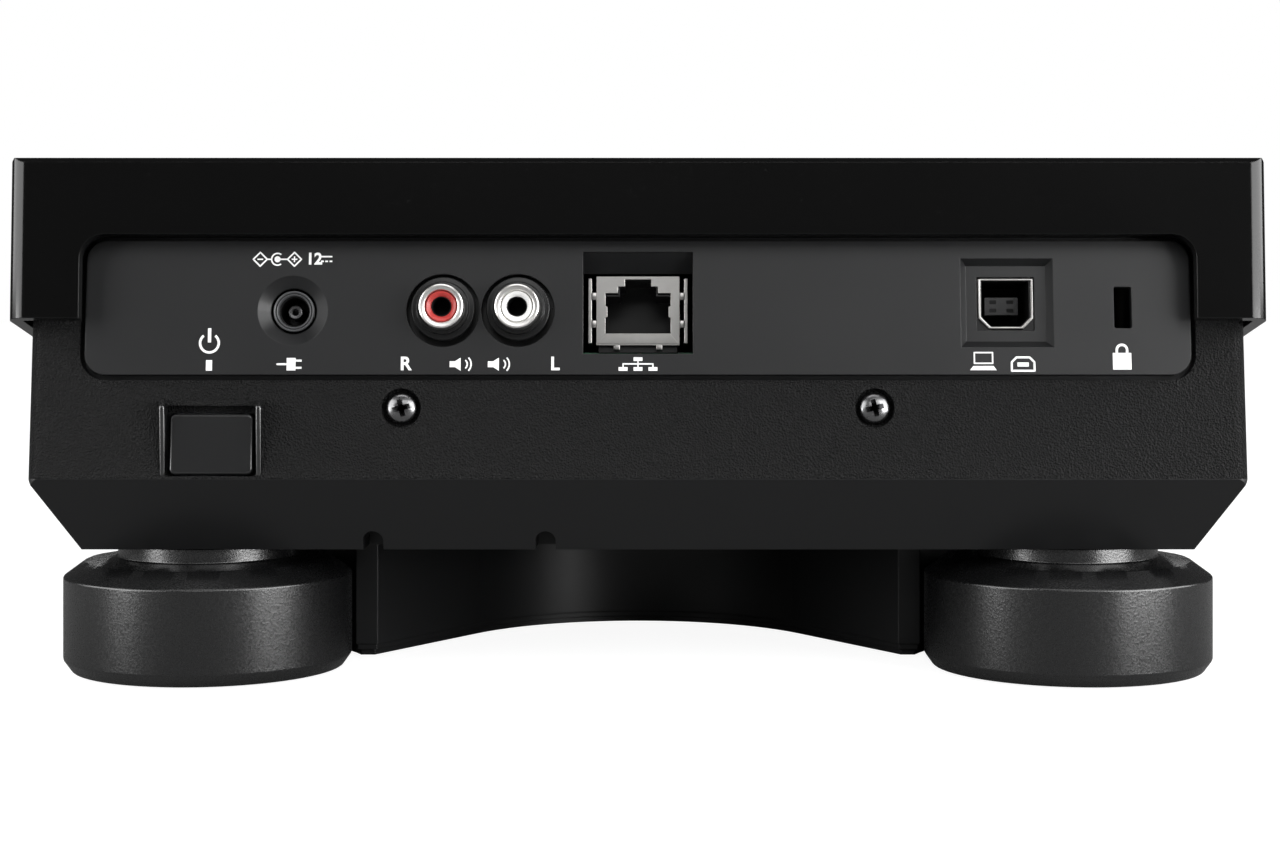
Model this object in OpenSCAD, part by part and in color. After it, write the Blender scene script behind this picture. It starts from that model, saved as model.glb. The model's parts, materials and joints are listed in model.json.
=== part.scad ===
// Tabletop player deck: a glossy top shell over a textured chassis, a chamfered base pan,
// a slot-loading disc drive, a jog wheel, a tempo fader and a rear connector panel.
// Millimetres. Origin at the centre of the footprint on the table, +Y to the rear, +Z up.

/* [Body] */
// Overall width of the top shell
body_w = 209.8; // [202:0.2:222]
// Overall depth from the front edge to the rear edge
body_d = 308; // [302:1:320]
// Height of the shell's rear top edge above the table
rear_h = 88.6; // [87:0.2:94]
// Downward slope of the deck towards the user, in degrees
deck_slope = 3; // [2.5:0.25:3.5]
// Wall thickness of the top shell's skirt
skirt_t = 2.2; // [1.8:0.1:2.2]
// Thickness of the top shell's upper plate
plate_t = 2.4; // [2.2:0.1:3]
// Corner radius of the shell seen from above
shell_r = 3; // [2:0.5:5]
// Chamfer on the shell's upper edge
shell_chamfer = 0.8; // [0.4:0.1:1]
// Height of the shell's corner legs at the rear
leg_h = 26.8; // [25:0.2:27.6]
// Width of each corner leg
leg_w = 12.1; // [10:0.1:12.3]
// Extra depth of the skirt along the sides
skirt_drop = 2.7; // [0:0.1:3]
// Length over which the skirt deepens behind the rear corner
skirt_run = 18; // [14:1:40]
// Height of the skirt over the front window
front_skirt_h = 20; // [16:0.5:22]
// Corner radius of the rear and front windows in the skirt
window_r = 4; // [2:0.5:5]
// Gap between the rear window's edge and the connector panel
window_gap = 1.0; // [0.6:0.1:1.5]

/* [Chassis] */
// How far the chassis walls stand in from the shell's outer side faces
side_step = 2.7; // [2.5:0.1:3.5]
// How far the chassis stands in from the front of the shell
front_step = 4; // [4:0.1:5]
// How far the rear crease stands in from the rear of the shell
rear_step = 2; // [1.6:0.1:3]
// Wall thickness of the chassis
chassis_t = 2.5; // [2:0.1:2.8]
// Height of the crease between the chassis and the base pan
crease_h = 35; // [34:0.2:36]
// Lean of the chassis rear face, in degrees
rear_lean = 6; // [4:0.5:7]
// Height of the base pan's underside
base_h = 22.4; // [22:0.1:23.4]
// How far the base pan tapers in from the crease to its underside
base_inset = 7.5; // [6:0.5:8.5]
// Floor thickness of the base pan
floor_t = 2.5; // [2:0.1:3]
// Radius of the vertical corners of the chassis
chassis_r = 2.3; // [1.5:0.1:4]
// Width of the cable notches in the base pan's rear edge
notch_w = 3.4; // [3:0.1:4]
// Height of the cable notches
notch_h = 3.3; // [2.5:0.1:4]

/* [Feet] */
// Radius of the round rear feet
foot_r = 25.15; // [22:0.05:26]
// Distance of the rear feet's centres from the shell's side faces
foot_side = 28.7; // [28.5:0.1:34]
// Distance of the rear feet's centres from the rear edge
foot_back = 26; // [26:1:30]
// Radius of the neck between a rear foot and the base pan
neck_r = 15.8; // [12:0.1:18]
// Height of that neck
neck_h = 2.6; // [2:0.1:4]
// Width of the chamfer on the upper edge of a rear foot
foot_top_c = 3.7; // [2:0.1:4.2]
// Height of that chamfer
foot_top_h = 2.7; // [1.6:0.1:3.4]
// Width of the chamfer on the lower edge of the feet
foot_low_c = 1.5; // [1:0.1:2.5]
// Height of that chamfer
foot_low_h = 2.1; // [1:0.1:3]
// How far the rubber pads stand proud of the feet
pad_proud = 0.1; // [0.1:0.1:0.8]
// Radius of the rubber pads under the rear feet
pad_r = 22.2; // [14:0.2:22.6]
// Thickness of the rubber pads
pad_t = 1.6; // [1.2:0.1:2]
// Distance of the front foot's sides from the shell's side faces
plinth_side = 16.9; // [14:0.1:24]
// Distance of the front foot's front edge from the front of the shell
plinth_front = 26; // [20:1:40]
// Radius of the front foot's front corners
plinth_r = 34; // [20:1:50]
// Radius of the hollow in the front foot's rear side
hollow_r = 36; // [30:1:40]
// Distance of that hollow's deepest point from the rear edge
hollow_back = 79; // [72:1:90]
// Half angle of the hollow's round part, in degrees
hollow_angle = 57; // [50:1:62]
// Wall thickness of the front foot
plinth_t = 3; // [2:0.5:4]

/* [Connector panel] */
// Distance of the connector panel's ends from the shell's side faces
panel_side = 12.2; // [12.2:0.1:13.4]
// Height of the connector panel
panel_h = 22.6; // [22.4:0.1:24]
// Distance of the panel's lower edge above the crease, along the rear face
panel_s = 17.4; // [17:0.1:17.8]
// Corner radius of the connector panel
panel_r = 3.4; // [2:0.1:5]
// How far the panel's face stands proud of the chassis
panel_proud = 0.4; // [0.2:0.1:0.8]
// Gap around the panel in its opening
panel_gap = 0.9; // [0.4:0.1:1]
// Skin thickness of the panel
panel_skin = 1.6; // [1.2:0.1:2]
// Height of the socket board above the crease, along the rear face
socket_s = 21.6; // [21.6:0.1:21.8]
// Height of the power and audio sockets' axes above the crease
axis_s = 28.2; // [27.9:0.1:28.4]

/* [Deck] */
// Distance of the key columns from the shell's side faces
column_inset = 20.4; // [20:0.1:22]
// Thickness of the faceplate inlaid in the deck
face_t = 1.0; // [0.8:0.1:1.2]
// Border of glossy shell left around the faceplate
face_border = 3.5; // [3:0.1:5]
// Distance of the screen lens from the shell's side faces
lens_side = 37.9; // [37:0.1:45]
// Distance of the lens from the rear edge
lens_v = 13; // [11:1:14]
// Radius of the jog wheel
jog_r = 61; // [56:0.5:62]
// Height of the jog wheel above the deck
jog_h = 16; // [14:0.5:16.5]
// Radius of the jog wheel's shaft
shaft_r = 4; // [3:0.5:5]
// Length of a deck key
key_w = 16; // [14:0.5:16.5]
// Depth of a deck key
key_d = 7.5; // [6:0.5:8.5]
// Height of the keys above the deck
key_rise = 1.6; // [1:0.1:2.5]
// Travel of the keys
key_travel = 0.8; // [0.5:0.1:0.9]
// Gap around each key
key_gap = 0.25; // [0.2:0.05:0.4]
// Radius of the play and cue buttons
play_r = 11; // [9:0.5:11.5]
// Travel of the tempo fader to each side of its centre
fader_travel = 40; // [30:1:41]
// Distance of the fader's centre from the front edge, along the deck
fader_front = 85; // [83:1:88]
// Distance of the jog wheel's axis from the front edge, along the deck
jog_front = 109; // [105:1:112]
// Distance of the row of keys under the screen from the front edge, along the deck
row_front = 195; // [190:1:198]
// Radius of the selector knob
selector_r = 10.5; // [8:0.5:12]
// Push travel of the selector knob
selector_travel = 0.6; // [0.4:0.1:0.8]

/* [Disc drive] */
// Height of the disc plane
slot_z = 43; // [42.6:0.1:43.4]
// Width of the disc slot
slot_w = 126; // [124:1:130]
// Height of the disc slot
slot_h = 5; // [4.8:0.1:5.2]
// Width of the drive's case
drive_w = 148; // [144:1:152]
// Length of the drive's case
drive_l = 160; // [156:1:164]
// Height of the drive's case
drive_h = 22; // [20:0.5:23]
// Travel of the pickup sled
sled_travel = 34; // [20:1:35]

/* [Hidden] */
$fn = 64;
BOARD_T = 1.6;           // thickness of every circuit board
FIT = 0.05;              // running clearance of a shaft, per side
SEAT = 0.2;              // gap between faces that only rest near each other
BIG = 500;               // larger than the whole player

// deck frame: x across, v from the rear edge to the user, z off the surface
deck_y = body_d/2 - leg_h*sin(deck_slope);
deck_l = (deck_y + body_d/2)/cos(deck_slope);
column_x = body_w/2 - column_inset;
row_v = deck_l - row_front;
jog_v = deck_l - jog_front;
fader_v = deck_l - fader_front;
lens_gap = 11;                         // between the lens and the row of keys
lens_w = body_w - 2*lens_side;
lens_d = row_v - key_d/2 - lens_gap - lens_v;

// chassis in the player's frame
half_w = body_w/2 - side_step;
front_y = -body_d/2 + front_step;
rear_y = body_d/2 - rear_step;
floor_z = base_h + floor_t;
foot_x = body_w/2 - foot_side;
foot_y = body_d/2 - foot_back;
plinth_x = body_w/2 - plinth_side;

// connector panel, measured up the rear face from the crease
panel_x = body_w/2 - panel_side;
panel_mid = panel_s + panel_h/2;
wall_n = -chassis_t;                   // inner face of the chassis wall
flange_n = wall_n - SEAT;              // front of the panel's flange
flange_t = 1.2;
skin_n = panel_proud - panel_skin;     // back of the panel's skin

// audio sockets
rca_x = [32.75, 20.15];
rca_recess_r = 6.15;
rca_ring_r = 3.75;
rca_ring_t = 1.1;
rca_pin_r = 1.65;
rca_reach = 4.4;
rca_rise = 0.35;   // the plugs' axes above the middle of their recesses
rca_s = axis_s + rca_rise;
rca_body_s = 35;
// power inlet
dc_x = panel_x - 34.7;
dc_flare_r = 5.9;
dc_barrel_r = 3.5;
dc_bore_r = 2.8;
dc_pin_r = 1.0;
// network socket
net_w = 15;
net_h = 12.9;
net_recess = [18.5, 17.2];
net_recess_s = 29.5;
net_n = -4;
net_mouth = [11.7, 6.6];
net_mouth_s = socket_s + 2.9;
net_steps = [[6.2, 1.65], [4.4, 2.75]];   // width and rise of the two steps for a plug's latch
// computer socket
usb_x = 30.7 - panel_x;
usb_s = 29.5;
usb_nose = [9.2, 8.5];
usb_recess = [15.6, 15];
usb_bevel = 1.1;
// socket board: half width, and its near and far edges behind the rear face
socket_board_x = panel_x - 19.5;
socket_board_n = [6, 39];
// lock slot
lock_x = 11.3 - panel_x;
lock_s = 28.7;
lock_slot = [3, 7];
// power button and its guard
power_x = body_w/2 - 33.55;
power_s = 5.8;
power_size = [14, 10.2];
power_travel = 2;
guard_size = [15.2, 11.8];
guard_s = 6.3;
guard_bar = 0.9;
guard_h = 1.6;
// rear screws
rear_screw_x = 39.65;
rear_screw_s = 11.85;
rear_boss_r = 3.8;
screw_r = 1.5;
head_r = 2.6;
head_h = 1.5;
head_pocket_r = 3.3;

// keys: name, x, v, kind, width, depth
key_step = 15;
row_step = (lens_w - 32)/3;
row_key_w = key_w + 4;
track_front = 117;                     // upper track key, from the front edge
cue_front = 69;
play_front = 41;
KEYS = [
    ["source_key", -1.5*row_step, row_v, "bar", row_key_w, key_d],
    ["back_key", -0.5*row_step, row_v, "bar", row_key_w, key_d],
    ["menu_key", 0.5*row_step, row_v, "bar", row_key_w, key_d],
    ["tag_key", 1.5*row_step, row_v, "bar", row_key_w, key_d],
    ["loop_in_key", -column_x, row_v, "bar", key_w, key_d],
    ["loop_out_key", -column_x, row_v + key_step, "bar", key_w, key_d],
    ["reloop_key", -column_x, row_v + 2*key_step, "bar", key_w, key_d],
    ["track_back_key", -column_x, deck_l - track_front, "bar", key_w, key_d],
    ["track_next_key", -column_x, deck_l - track_front + key_step, "bar", key_w, key_d],
    ["cue_button", -column_x, deck_l - cue_front, "round", 2*play_r, 2*play_r],
    ["play_button", -column_x, deck_l - play_front, "round", 2*play_r, 2*play_r],
    ["sync_key", column_x, row_v, "bar", key_w, key_d],
    ["tempo_range_key", column_x, row_v + key_step, "bar", key_w, key_d],
    ["tempo_lock_key", column_x, row_v + 2*key_step, "bar", key_w, key_d],
];
key_r = 1.2;
key_flange = 1;                        // how far a key's flange reaches past its cap
flange_h = 1;                          // thickness of that flange
switch_gap = 0.1;                      // left under a key that is fully pressed

// everything under the deck plate
under_z = -plate_t;
board_z = under_z - 5.6;               // top face of the control board
board_v = [row_v - 8, deck_l - 31];
board_x = half_w - 8.5;
board_posts = [for (sx = [-1, 1], v = [row_v + 8, deck_l - 45]) [sx*(lens_w/2 - 4), v]];
lens_ledge = 3;
selector_v = row_v - 22;
selector_h = 9.5;
selector_shaft_r = 3;
port_v = row_v - 52;
port_mouth = [12.6, 5.2];
port_wall = 0.5;
port_depth = 15;
port_tongue = 4.5;                     // how far the tongue lies below the mouth

// jog wheel
jog_gap = 1.0;
jog_rim_drop = 2.2;
jog_plate_r = 46;
jog_plate_t = 1.4;
jog_plate_gap = 0.3;
jog_press = 0.4;
hub_r = 12;
bearing_r = 9;
bearing_flange_r = 20;
bearing_l = 14;
encoder_r = 24;
shaft_end = -22;

// tempo fader
fader_x = column_x;
fader_stem = [2.4, 6];
fader_slot_w = 3.2;
fader_cap = [12.5, 22, 10];
fader_box = [14, 2*fader_travel + 24, 10.6];

// shell posts, long screws
post_r = 3.8;
post_x = half_w - 12;
post_y = [front_y + 22, foot_y - 14];
post_split = 14;                       // where a post meets the shell's boss, below the deck

// disc drive
drive_z = floor_z + 3.5;
drive_y = front_y + chassis_t + base_inset*(crease_h - drive_z)/(crease_h - base_h) + SEAT;
sheet_t = 1.2;
spindle_y = drive_y + 68;
hub_top = slot_z - slot_h/2 - 0.5;
roller_r = 3.4;
roller_side = 15;                      // from the drive's side to the end of the rubber
roller_y = drive_y + 11;
roller_z = slot_z - slot_h/2 - 0.6 - roller_r;
axle_r = 1.2;
rod_r = 1.5;
rod_x = 21;
screw_x = 29;
rod_z = drive_z + 6.4;
rod_y = [spindle_y + 15, drive_y + drive_l - 13];
sled_y = spindle_y + 27;               // sled at its inner end
sled_size = [50, 18, 6.4];
motor_r = 5;

main_board_z = floor_z + 5.5;
main_board_y = [drive_y + drive_l + 8, 104];
main_board_x = half_w - 17.5;

sole_z = pad_proud;                    // underside of the feet above the table
foot_fall = 0.6;                       // how far a rear foot's top falls away from its neck
pad_top = pad_t;
hollow_y = body_d/2 - hollow_back;
front_pads = [for (sx = [-1, 1], y = [front_y + 42, foot_y - 50]) [sx*(plinth_x - 26), y]];
front_pad_r = 8;

// ---- frames -------------------------------------------------------------------------------

module on_deck(x = 0, v = 0, z = 0) {
    translate([0, deck_y, rear_h]) rotate([deck_slope, 0, 0]) translate([x, -v, z]) children();
}

module on_rear(x = 0, s = 0, n = 0) {
    translate([0, rear_y, crease_h]) rotate([rear_lean, 0, 0]) translate([x, n, s]) children();
}

// Points a child's +Z out of the rear face.
module outward() { rotate([-90, 0, 0]) children(); }

// All space below a plane parallel to the deck.
module below_deck(drop) {
    on_deck(0, 0, -drop - BIG) translate([-BIG, -BIG, 0]) cube([2*BIG, 2*BIG, BIG]);
}

// ---- outlines and prisms ------------------------------------------------------------------

module round_rect(w, d, r) {
    square([w - 2*r, d], center = true);
    square([w, d - 2*r], center = true);
    for (sx = [-1, 1], sy = [-1, 1]) translate([sx*(w/2 - r), sy*(d/2 - r)]) circle(r = r);
}

// A rounded plate in the rear face's frame: width across, height up the face.
module rear_block(w, h, n0, n1, r = 0) {
    translate([0, n1, 0]) rotate([90, 0, 0]) linear_extrude(n1 - n0)
        if (r > 0) round_rect(w, h, r); else square([w, h], center = true);
}

module side_prism(w, points) {
    rotate([90, 0, 90]) linear_extrude(w, center = true) polygon(points);
}

module front_prism(d, points) {
    rotate([90, 0, 0]) linear_extrude(d, center = true) polygon(points);
}

module tube(r, bore, h) {
    difference() {
        cylinder(r = r, h = h);
        translate([0, 0, -1]) cylinder(r = bore, h = h + 2);
    }
}

// ---- top shell ----------------------------------------------------------------------------

module shell_block() {
    low = leg_h + skirt_drop;
    c = shell_chamfer;
    intersection() {
        front_prism(2*BIG, [[-body_w/2, -low], [body_w/2, -low], [body_w/2, -c], [body_w/2 - c, 0],
                            [c - body_w/2, 0], [-body_w/2, -c]]);
        side_prism(2*BIG, [[0, -leg_h], [0, -c], [-c, 0], [c - deck_l, 0], [-deck_l, -c],
                           [-deck_l, -low], [-skirt_run, -low]]);
        translate([0, -deck_l/2, -BIG]) linear_extrude(2*BIG) round_rect(body_w, deck_l, shell_r);
    }
}

module shell_hollow() {
    translate([0, -deck_l/2, -BIG - plate_t]) linear_extrude(BIG)
        round_rect(body_w - 2*skirt_t, deck_l - 2*skirt_t, max(shell_r - skirt_t, 0.8));
}

// Window through a skirt wall: its upper edge lies `top` below the deck.
module skirt_window(y, top) {
    w = body_w - 2*leg_w;
    translate([0, y, -top - BIG/2]) rotate([90, 0, 0]) linear_extrude(8, center = true)
        round_rect(w, BIG, window_r);
}

// Distance from the shell's rear edge down to the rear window's upper edge.
function rear_window_top() =
    rear_h - crease_h - (panel_s + panel_h)*cos(rear_lean) - window_gap;

module key_outline(k, grow = 0) {
    translate([k[1], -k[2]])
        if (k[3] == "round") circle(r = k[4]/2 + grow);
        else round_rect(k[4] + 2*grow, k[5] + 2*grow, key_r + grow);
}

// Every hole that goes through both the faceplate and the shell's plate.
module deck_holes() {
    for (k = KEYS) key_outline(k, key_gap);
    translate([0, -jog_v]) circle(r = bearing_r + SEAT);
    translate([column_x, -selector_v]) circle(r = selector_shaft_r + 1.5);
    translate([fader_x, -fader_v])
        round_rect(fader_slot_w, 2*fader_travel + fader_stem[1] + 3, fader_slot_w/2 - 0.01);
    translate([-column_x, -port_v]) square([port_mouth[0] + 2*port_wall + 2*SEAT,
                                            port_mouth[1] + 2*port_wall + 2*SEAT], center = true);
}

module face_outline(grow = 0) {
    translate([0, -deck_l/2])
        round_rect(body_w - 2*face_border + 2*grow, deck_l - 2*face_border + 2*grow, 2);
}

module lens_outline(grow = 0) {
    translate([0, -lens_v - lens_d/2]) round_rect(lens_w + 2*grow, lens_d + 2*grow, 2.5);
}

// A boss that hangs from the deck plate down to a level plane, with a pilot hole.
module shell_boss(x, y) {
    split_z = rear_h - (deck_y - y)*tan(deck_slope) - post_split;
    difference() {
        intersection() {
            translate([x, y, split_z]) cylinder(r = post_r, h = BIG);
            below_deck(plate_t - 0.4);
        }
        translate([x, y, split_z - 1]) cylinder(r = screw_r, h = 9);
    }
}

module top_shell() color("#101011") {
    on_deck() difference() {
        shell_block();
        shell_hollow();
        skirt_window(0, rear_window_top());
        skirt_window(-deck_l, front_skirt_h);
        translate([0, 0, -face_t]) linear_extrude(BIG) face_outline(0.15);
        translate([0, 0, -BIG/2]) linear_extrude(BIG) deck_holes();
        translate([0, 0, -BIG/2]) linear_extrude(BIG) lens_outline(-lens_ledge);
    }
    on_deck() for (p = board_posts)
        translate([p[0], -p[1], board_z]) cylinder(r = 3, h = -board_z - plate_t + 0.4);
    for (sx = [-1, 1], y = post_y) shell_boss(sx*post_x, y);
}

module faceplate() color("#1b1c1e") on_deck(0, 0, -face_t) linear_extrude(face_t) difference() {
    face_outline();
    deck_holes();
    lens_outline(0.2);
}

module screen_lens() color("#050607") on_deck(0, 0, -face_t) linear_extrude(face_t + 0.1)
    lens_outline();

module display_module() color("#3a3d42") on_deck(0, lens_v + lens_d/2, under_z) {
    translate([0, 0, -3.8]) linear_extrude(3.8) square([lens_w + 4, lens_d + 4], center = true);
    linear_extrude(plate_t - face_t - SEAT)
        square([lens_w - 2*lens_ledge - 2, lens_d - 2*lens_ledge - 2], center = true);
}

// ---- chassis and base pan -----------------------------------------------------------------

// The chassis outline with its walls moved in by `inset`, reaching up under the deck.
module chassis_block(inset) {
    w = 2*(half_w - inset);
    r = max(chassis_r - inset, 0.5);
    difference() {
        intersection() {
            translate([0, front_y + inset + BIG/2, crease_h]) linear_extrude(BIG/4) round_rect(w, BIG, r);
            on_rear(0, -BIG/20, -inset - BIG/2) linear_extrude(BIG/2) round_rect(w, BIG, r);
        }
        if (inset == 0) difference() {
            translate([-BIG, -BIG, 0]) cube([2*BIG, 2*BIG, BIG]);
            below_deck(plate_t + SEAT);
        }
    }
}

module chassis_holes() {
    on_rear(0, panel_mid) rear_block(2*(panel_x + panel_gap), panel_h + 2*panel_gap,
                                     -BIG/20, BIG/20, panel_r + panel_gap);
    on_rear(power_x, guard_s) rear_block(guard_size[0], guard_size[1], -1.2, BIG/20, 0.6);
    on_rear(power_x, power_s)
        rear_block(power_size[0] + 2*key_gap, power_size[1] + 2*key_gap, -BIG/20, 1, 1.2);
    for (sx = [-1, 1]) on_rear(sx*rear_screw_x, rear_screw_s) outward() {
        translate([0, 0, -1.2]) cylinder(r = head_pocket_r, h = 5);
        translate([0, 0, -12]) cylinder(r = screw_r + FIT, h = 20);
    }
    translate([0, front_y, slot_z]) cube([bezel_w + 2*SEAT, 12, bezel_h + 2*SEAT], center = true);
    translate([eject_x, front_y, slot_z])
        rotate([90, 0, 0]) linear_extrude(12, center = true)
            round_rect(eject_size[0] + 2*key_gap, eject_size[1] + 2*key_gap, 1.2);
}

// One side bar of the guard: it stands highest at its upper end and runs out at the crease.
module side_bar(x, top) {
    translate([x, 0, 0]) side_prism(guard_bar, [[-0.6, 1 - guard_size[1]/2], [0, 1 - guard_size[1]/2],
        [guard_h, top - 0.8], [guard_h - 0.4, top], [-0.6, top]]);
}

module lower_chassis() color("#1d1d1f") {
    difference() {
        union() {
            difference() {
                chassis_block(0);
                translate([0, 0, -0.01]) chassis_block(chassis_t);
            }
            for (sx = [-1, 1]) on_rear(sx*rear_screw_x, rear_screw_s, wall_n - 6)
                outward() cylinder(r = rear_boss_r, h = 6.5);
        }
        chassis_holes();
    }
    on_rear(power_x, guard_s) for (sx = [-1, 1])
        side_bar(sx*(guard_size[0] + guard_bar)/2, guard_size[1]/2 + guard_bar);
    on_rear(power_x, guard_s + (guard_size[1] + guard_bar)/2)
        rear_block(guard_size[0] + 0.1, guard_bar, -0.6, 0.5);
}

// The tapered pan outline, moved in by `inset`, with its underside at z.
module pan_block(inset, z) {
    x = half_w - inset;
    f = front_y + inset;
    r = rear_y - inset;
    t = base_inset*(crease_h - z)/(crease_h - base_h);
    intersection() {
        front_prism(2*BIG, [[t - x, z], [x - t, z], [x, crease_h], [-x, crease_h]]);
        side_prism(2*BIG, [[f + t, z], [r - t, z], [r, crease_h], [f, crease_h]]);
        translate([0, (f + r)/2, 0]) linear_extrude(BIG) round_rect(2*x, r - f, chassis_r);
    }
}

module pan_notch(x) {
    y = rear_y - base_inset;
    translate([x, y, base_h + notch_h - notch_w/2]) rotate([90, 0, 0])
        cylinder(r = notch_w/2, h = 16, center = true);
    translate([x - notch_w/2, y - 8, base_h - 1]) cube([notch_w, 16, notch_h - notch_w/2 + 1]);
}

// A post from the pan's floor up to a plane parallel to the socket board.
module board_post(x, y) {
    intersection() {
        translate([x, y, floor_z - 0.5]) cylinder(r = 3, h = BIG/4);
        on_rear(0, socket_s - BOARD_T - BIG) translate([-BIG, -BIG, 0]) cube([2*BIG, 2*BIG, BIG]);
    }
}

module case_post(x, y) {
    split_z = rear_h - (deck_y - y)*tan(deck_slope) - post_split;
    translate([x, y, floor_z - 0.5]) cylinder(r = post_r, h = split_z - floor_z + 0.5);
}

module floor_boss(x, y, top, r = 4) {
    translate([x, y, floor_z - 0.5]) cylinder(r = r, h = top - floor_z + 0.5);
}

drive_feet = [for (sx = [-1, 1], y = [drive_y + 20, drive_y + drive_l - 20]) [sx*(drive_w/2 - 8), y]];
board_feet = [for (sx = [-1, 1], y = [main_board_y[0] + 8, main_board_y[1] - 8]) [sx*(main_board_x - 8), y]];
socket_posts = [for (sx = [-1, 1]) [sx*(socket_board_x - 25), rear_y - socket_board_n[1] + 4]];
foot_screw_top = floor_z + 7;

module base_pan() color("#161617") difference() {
    union() {
        difference() {
            pan_block(0, base_h);
            pan_block(chassis_t, floor_z);
            translate([0, 0, crease_h - 0.01]) linear_extrude(1) square(BIG, center = true);
        }
        translate([30, rear_y - base_inset - 10, floor_z]) cube([60, 12, 4], center = true);
        for (sx = [-1, 1], y = post_y) case_post(sx*post_x, y);
        for (p = drive_feet) floor_boss(p[0], p[1], drive_z);
        for (p = board_feet) floor_boss(p[0], p[1], main_board_z);
        for (p = socket_posts) board_post(p[0], p[1]);
        for (sx = [-1, 1]) floor_boss(sx*foot_x, foot_y, foot_screw_top, 5);
    }
    for (x = [45, 15.7]) pan_notch(x);
    for (sx = [-1, 1], y = post_y) translate([sx*post_x, y, base_h - 1]) {
        cylinder(r = screw_r + FIT, h = BIG/4);
        cylinder(r = head_pocket_r, h = 1 + 1.8);
    }
    for (sx = [-1, 1]) translate([sx*foot_x, foot_y, base_h - 1]) cylinder(r = screw_r + FIT, h = BIG/20);
    for (p = front_pads) translate([p[0], p[1], base_h - 1]) cylinder(r = screw_r + FIT, h = 10);
    for (i = [-5:5]) translate([i*9, main_board_y[0] + 26, floor_z]) cube([3, 30, 8], center = true);
}

// ---- feet ---------------------------------------------------------------------------------

module rear_foot() {
    top = base_h - neck_h;
    difference() {
        rotate_extrude() polygon([[0, sole_z], [foot_r - foot_low_c, sole_z],
            [foot_r, sole_z + foot_low_h], [foot_r, top - foot_top_h - foot_fall],
            [foot_r - foot_top_c, top - foot_fall], [neck_r, top], [neck_r, base_h], [0, base_h]]);
        translate([0, 0, -1]) cylinder(r = pad_r + SEAT, h = pad_top + 1);
        translate([0, 0, -1]) cylinder(r = 5, h = 10);
        translate([0, 0, -1]) cylinder(r = screw_r + FIT, h = BIG);
    }
}

module rear_feet() color("#1b1b1c") for (sx = [-1, 1]) translate([sx*foot_x, foot_y, 0]) rear_foot();

// The front foot's outline, moved in by `inset`: hollow towards the rear, cut round the rear feet.
module plinth_outline(inset) {
    y0 = -body_d/2 + plinth_front + inset;
    y1 = foot_y - 10 - inset;
    half = plinth_x - inset;
    cy = hollow_y + hollow_r;
    r = hollow_r + inset;
    a = hollow_angle;
    reach = foot_y - cy + r;
    difference() {
        union() {
            translate([0, (y0 + y1)/2 + plinth_r/2]) square([2*half, y1 - y0 - plinth_r], center = true);
            translate([0, y0 + plinth_r]) square([2*(half - plinth_r), 2*plinth_r], center = true);
            for (sx = [-1, 1]) translate([sx*(half - plinth_r), y0 + plinth_r]) circle(r = plinth_r);
        }
        translate([0, cy]) {
            circle(r = r);
            polygon([[-r*sin(a), -r*cos(a)], [r*sin(a), -r*cos(a)],
                     [r*sin(a) + reach*cos(a), reach*sin(a) - r*cos(a)],
                     [-r*sin(a) - reach*cos(a), reach*sin(a) - r*cos(a)]]);
        }
        for (sx = [-1, 1]) translate([sx*foot_x, foot_y]) circle(r = foot_r + 1.6 + inset);
    }
}

module front_foot() color("#171718") {
    steps = 2;
    step = foot_low_h/steps;
    difference() {
        union() {
            for (i = [0:steps - 1]) translate([0, 0, sole_z + i*step])
                linear_extrude(2*step) plinth_outline(foot_low_c*(1 - (i + 0.5)/steps));
            translate([0, 0, sole_z + foot_low_h])
                linear_extrude(base_h - sole_z - foot_low_h) plinth_outline(0);
        }
        translate([0, 0, sole_z + plinth_t]) linear_extrude(BIG) difference() {
            plinth_outline(plinth_t);
            for (p = front_pads) translate(p) circle(r = 5);
        }
        for (p = front_pads) translate([p[0], p[1], base_h - 11]) cylinder(r = screw_r + FIT, h = 20);
        for (p = front_pads) translate([p[0], p[1], -1]) cylinder(r = front_pad_r + SEAT, h = pad_top + 1);
    }
}

module foot_pads() color("#0a0a0a") {
    for (sx = [-1, 1]) translate([sx*foot_x, foot_y, 0]) tube(pad_r, 6, pad_t);
    for (p = front_pads) translate([p[0], p[1], 0]) cylinder(r = front_pad_r, h = pad_t);
}

// ---- front face ---------------------------------------------------------------------------

bezel_w = 136;
bezel_h = 10.4;
bezel_lip = 2.5;                       // flange behind the wall, beyond the bezel's ends
eject_x = max(drive_w/2, bezel_w/2 + bezel_lip) + 7.5;
eject_size = [11, 6];
eject_travel = 0.9;
eject_rise = 0.3;
eject_back = front_y + chassis_t + SEAT + flange_h;
light_w = 116;
light_h = 1;
light_z = slot_z - slot_h/2 - 1.4;

module bezel_plate(w, h, y0, y1) {
    translate([0, (y0 + y1)/2, slot_z]) cube([w, y1 - y0, h], center = true);
}

module front_bezel() color("#0e0e0f") difference() {
    union() {
        bezel_plate(bezel_w, bezel_h, front_y - 0.4, front_y + chassis_t + SEAT);
        bezel_plate(bezel_w + 2*bezel_lip, bezel_h + 3,
                    front_y + chassis_t + SEAT, front_y + chassis_t + 1.2);
    }
    translate([0, front_y, slot_z]) cube([slot_w, 30, slot_h], center = true);
    translate([0, front_y - 1, light_z]) cube([light_w + 0.2, 4, light_h + 0.2], center = true);
}

module slot_light() color("#d8e4f0") translate([0, front_y + 0.3, light_z])
    cube([light_w, 1.3, light_h], center = true);

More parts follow.
